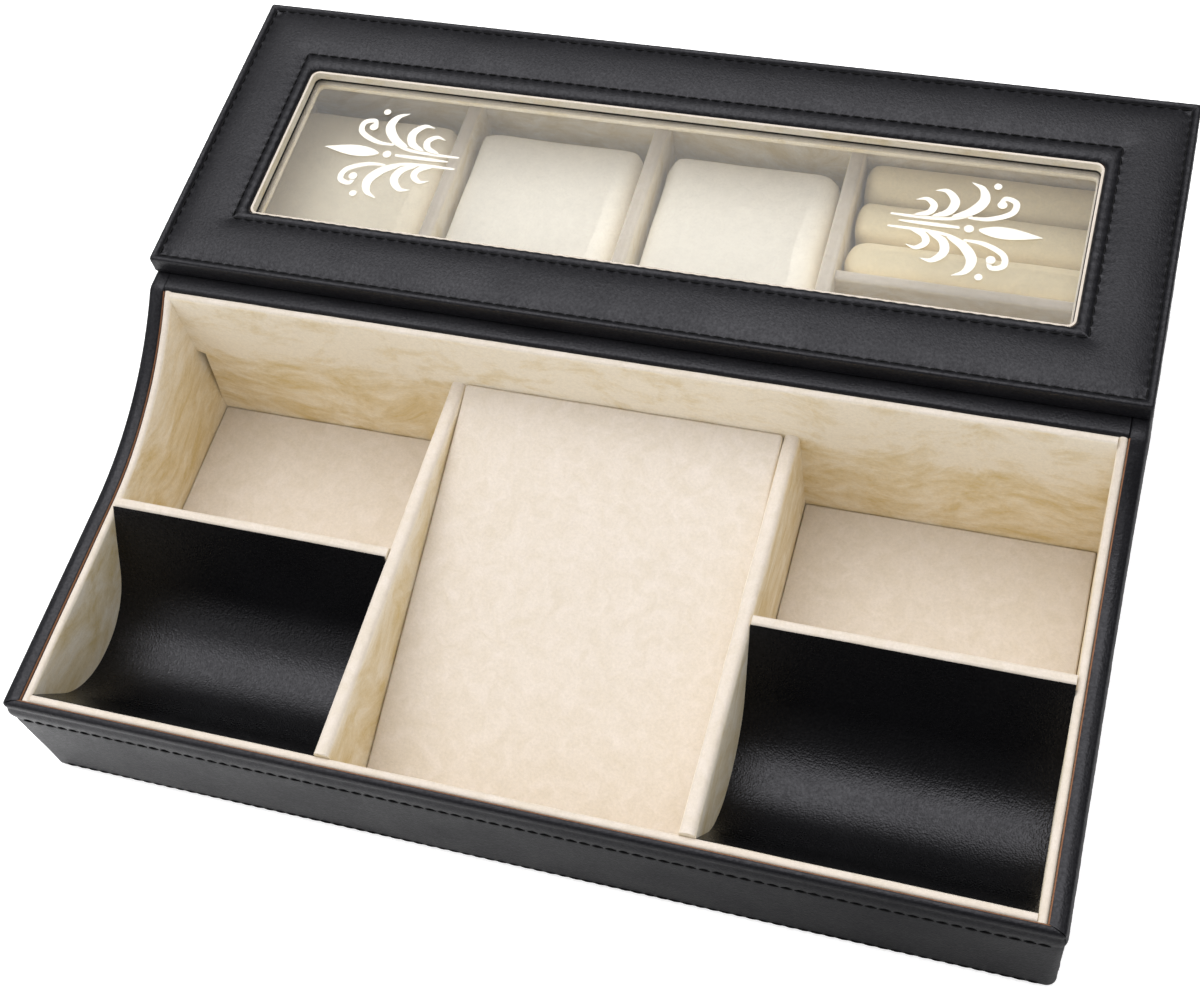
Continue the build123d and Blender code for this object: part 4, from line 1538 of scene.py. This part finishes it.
class VALETBOX_OT_window(bpy.types.Operator):
    """Glaze the lid and put its two frosted sprays on the glass"""

    bl_idname = "valetbox.window"
    bl_label = "Window"

    ornament_shift = 2.0

    def execute(self, context):
        w = settings().window
        refinish(float_glass(w.tint), "lid_glass")
        frost = plain_matter("frosted_glass", w.frost, [c * 0.97 for c in w.frost], 3.0, 0.02, 0.85)
        low, high = span("window_edge_lining")
        reach = high.x - (w.ornament_inset + w.ornament_length / 2) / MM
        middle = (low.y + high.y) / 2 + self.ornament_shift
        size = w.ornament_length / MM / SPRAY_LENGTH
        window_strips()
        for side, facing in (("left", -1), ("right", 1)):
            ornament(side + "_ornament", (facing * reach, middle), facing, size, frost)
        return {"FINISHED"}


class VALETBOX_OT_hinges(bpy.types.Operator):
    """Finish the two brass hinges and put their screws in"""

    bl_idname = "valetbox.hinges"
    bl_label = "Hinges"

    screw_radius = 1.0
    screw_height = 0.5
    screw_inset = 2.2

    def execute(self, context):
        brass = plain_matter("browned_brass", linear("#4a3a24"), linear("#6a5433"), 2.0, 0.01, 0.42, 1.0)
        tree = screw_tree()
        values = {"Radius": self.screw_radius * MM, "Height": self.screw_height * MM, "Metal": brass}
        for side in ("left_", "right_"):
            refinish(brass, side + "hinge_case_leaf", side + "hinge_lid_leaf", side + "hinge_pin")
        for leaf, body, level, up in (("hinge_case_leaf", "box", span("back_wall")[1].z, 1),
                                      ("hinge_lid_leaf", "lid", span("lid_board")[0].z, -1)):
            runs = []
            for side in ("left_", "right_"):
                low, high = span(side + leaf)
                for share in (0.2, 0.8):
                    x = low.x + (high.x - low.x) * share
                    place = Vector((x, low.y + self.screw_inset, level - up * self.screw_height * 0.5))
                    runs.append((1, [(place, (0, 0, up))]))
            settle(grown(leaf + "_screws", tree, runs, values, brass), body, "hinge_metal")
        return {"FINISHED"}


class VALETBOX_OT_hidden_pieces(bpy.types.Operator):
    """Finish the base, the felt, the beds under the troughs and the ribs"""

    bl_idname = "valetbox.hidden_pieces"
    bl_label = "Hidden pieces"

    def execute(self, context):
        foam = plain_matter("polyurethane_foam", linear("#b9b9b4"), linear("#cfcfca"), 3.0, 0.3, 1.0)
        board = plain_matter("fibre_board", linear("#8a6b48"), linear("#a98a63"), 2.0, 0.1, 0.85)
        felt = plain_matter("wool_felt", linear("#0e0e0f"), linear("#1d1d1f"), 2.5, 0.3, 1.0)
        refinish(foam, "left_trough_bed", "right_trough_bed")
        refinish(board, "base_board", "left_ramp_rib", "right_ramp_rib")
        refinish(felt, "underside_felt")
        return {"FINISHED"}


class VALETBOX_OT_stage(bpy.types.Operator):
    """Set the floor, the soft lamps and the camera"""

    bl_idname = "valetbox.stage"
    bl_label = "Stage"

    sensor_width = 36.0     # in millimetres
    clip_start = 0.01       # in metres, as are the next six
    floor_size = 6.0
    softbox_place = (-0.9, -0.8, 0.9)
    softbox_aim = (0, 0, 0.03)
    softbox_size = 0.9
    paper_middle = 0.11     # X of the line where the paper's painted grey is darkest, as the leather mirrors it
    paper_reach = 0.27      # and how far from it that painted grey is brightest
    overhead_core = 4       # half angle of the overhead panel's even middle, in degrees
    overhead_edge = 40      # and of its edge, where it has faded out

    def execute(self, context):
        s = settings().stage
        half = self.floor_size / 2
        mesh = bpy.data.meshes.new("floor")
        corners = [(-half, -half, 0), (half, -half, 0), (half, half, 0), (-half, half, 0)]
        mesh.from_pydata(corners, [], [(0, 1, 2, 3)])
        floor = bpy.data.objects.new("floor", mesh)
        context.scene.collection.objects.link(floor)
        mesh.materials.append(self.floor_finish())
        self.lamp("front_softbox", self.softbox_place, self.softbox_aim, self.softbox_size, s.key)
        self.sky(context, s)
        data = bpy.data.cameras.new("camera")
        data.lens = s.lens
        data.sensor_width = self.sensor_width
        data.clip_start = self.clip_start
        camera = bpy.data.objects.new("camera", data)
        camera.location = s.eye
        camera.rotation_euler = s.aim
        context.scene.collection.objects.link(camera)
        context.scene.camera = camera
        context.scene.view_settings.view_transform = "Standard"
        return {"FINISHED"}

    def floor_finish(self):
        """White paper that takes the shadow, as the camera sees it straight or through the glass. To every
        other ray it is a painted grey, dimmest before the box's right half and brightening to both sides,
        so that the leather mirrors a painted reflection."""
        material = bpy.data.materials.new("white_paper")
        material.use_nodes = True
        tree = material.node_tree
        paper = tree.nodes["Principled BSDF"]
        paper.inputs["Roughness"].default_value = 0.9
        paper.inputs["Base Color"].default_value = (0.9, 0.9, 0.9, 1)
        glow = add(tree, "ShaderNodeEmission", {"Color": WHITE, "Strength": 0.5}).outputs[0]
        lit = add(tree, "ShaderNodeAddShader", {0: paper.outputs[0], 1: glow}).outputs[0]
        seen, _ = self.rays(tree)
        place = add(tree, "ShaderNodeTexCoord").outputs["Object"]
        across = add(tree, "ShaderNodeSeparateXYZ", {0: place}).outputs["X"]
        beside = add(tree, "ShaderNodeMath", {
            0: across, 1: self.paper_middle,
        }, operation="SUBTRACT").outputs[0]
        far = add(tree, "ShaderNodeMath", {0: beside}, operation="ABSOLUTE").outputs[0]
        # Painted grey for reflections and bounce light, darkest at paper_middle.
        painted_grey = add(tree, "ShaderNodeMapRange", {
            "Value": far, "From Min": 0.0, "From Max": self.paper_reach, "To Min": 0.28, "To Max": 1.0,
        }).outputs["Result"]
        tone = add(tree, "ShaderNodeCombineXYZ", {0: painted_grey, 1: painted_grey, 2: painted_grey}).outputs[0]
        painted_mirror_paper = add(tree, "ShaderNodeBsdfDiffuse", {"Color": tone}).outputs[0]
        both = add(tree, "ShaderNodeMixShader", {0: seen, 1: painted_mirror_paper, 2: lit}).outputs[0]
        tree.links.new(both, tree.nodes["Material Output"].inputs["Surface"])
        return material

    def rays(self, tree):
        """Whether a ray comes from the eye, straight or through the glass, and whether from a gloss."""
        path = add(tree, "ShaderNodeLightPath").outputs
        seen = add(tree, "ShaderNodeMath", {
            0: path["Is Camera Ray"], 1: path["Is Transmission Ray"],
        }, operation="MAXIMUM").outputs[0]
        return seen, path["Is Glossy Ray"]

    def lamp(self, name, place, target, size, power):
        """A square soft box that faces its target."""
        data = bpy.data.lights.new(name, "AREA")
        data.shape = "SQUARE"
        data.size = size
        data.energy = power
        lamp = bpy.data.objects.new(name, data)
        lamp.location = place
        lamp.rotation_euler = (Vector(target) - Vector(place)).to_track_quat("-Z", "Y").to_euler()
        bpy.context.scene.collection.objects.link(lamp)

    def sky(self, context, s):
        """A pale room with a diffused panel overhead that fades out at its edges, white to the camera."""
        world = bpy.data.worlds.new("studio")
        context.scene.world = world
        world.use_nodes = True
        tree = world.node_tree
        way = add(tree, "ShaderNodeTexCoord").outputs["Generated"]
        near = add(tree, "ShaderNodeVectorMath", {
            0: way, 1: Vector(s.overhead_way).normalized()}, operation="DOT_PRODUCT").outputs["Value"]
        panel = add(tree, "ShaderNodeMapRange", {
            "Value": near, "To Min": 0.0, "To Max": s.overhead,
            "From Min": math.cos(math.radians(self.overhead_edge)),
            "From Max": math.cos(math.radians(self.overhead_core)),
        }, interpolation_type="SMOOTHSTEP").outputs["Result"]
        room = add(tree, "ShaderNodeMath", {0: panel, 1: s.sky}, operation="ADD").outputs[0]
        mirrored = add(tree, "ShaderNodeMath", {0: panel, 1: s.gloss}, operation="ADD").outputs[0]
        soft = add(tree, "ShaderNodeBackground", {"Color": WHITE, "Strength": room}).outputs[0]
        dim = add(tree, "ShaderNodeBackground", {"Color": WHITE, "Strength": mirrored}).outputs[0]
        white = tree.nodes["Background"]
        white.inputs["Color"].default_value = WHITE
        seen, glossy = self.rays(tree)
        lit = add(tree, "ShaderNodeMixShader", {0: glossy, 1: soft, 2: dim}).outputs[0]
        both = add(tree, "ShaderNodeMixShader", {0: seen, 1: lit, 2: white.outputs[0]}).outputs[0]
        tree.links.new(both, tree.nodes["World Output"].inputs["Surface"])


class VALETBOX_PT_panel(bpy.types.Panel):
    """The box's pieces and settings"""

    bl_label = "Valet box"
    bl_idname = "VALETBOX_PT_panel"
    bl_space_type = "VIEW_3D"
    bl_region_type = "UI"
    bl_category = "Valet box"

    def draw(self, context):
        box = context.scene.valet_box
        for group in ("stitches", "leather", "suede", "cushions", "window", "stage"):
            part = getattr(box, group)
            self.layout.label(text=group.capitalize())
            for key in part.__annotations__:
                self.layout.prop(part, key)
        for kind in PIECES:
            self.layout.operator(kind.bl_idname)


GROUPS = (StitchSettings, LeatherSettings, SuedeSettings, CushionSettings, WindowSettings, StageSettings,
          ValetBoxSettings)
PIECES = (
    VALETBOX_OT_leather_walls,
    VALETBOX_OT_lid_leather,
    VALETBOX_OT_stitches,
    VALETBOX_OT_troughs,
    VALETBOX_OT_tray_boards,
    VALETBOX_OT_sloping_panel,
    VALETBOX_OT_case_boards,
    VALETBOX_OT_watch_pillows,
    VALETBOX_OT_ring_pads,
    VALETBOX_OT_window,
    VALETBOX_OT_hinges,
    VALETBOX_OT_hidden_pieces,
    VALETBOX_OT_stage,
)


def register():
    """Adds the classes and the scene's settings."""
    for kind in GROUPS + PIECES + (VALETBOX_PT_panel,):
        bpy.utils.register_class(kind)
    bpy.types.Scene.valet_box = bpy.props.PointerProperty(type=ValetBoxSettings)


def unregister():
    """Takes them away again."""
    del bpy.types.Scene.valet_box
    for kind in reversed(GROUPS + PIECES + (VALETBOX_PT_panel,)):
        bpy.utils.unregister_class(kind)


def main():
    """Builds every piece in order."""
    register()
    for kind in PIECES:
        group, name = kind.bl_idname.split(".")
        getattr(getattr(bpy.ops, group), name)()


if __name__ == "__main__":
    main()
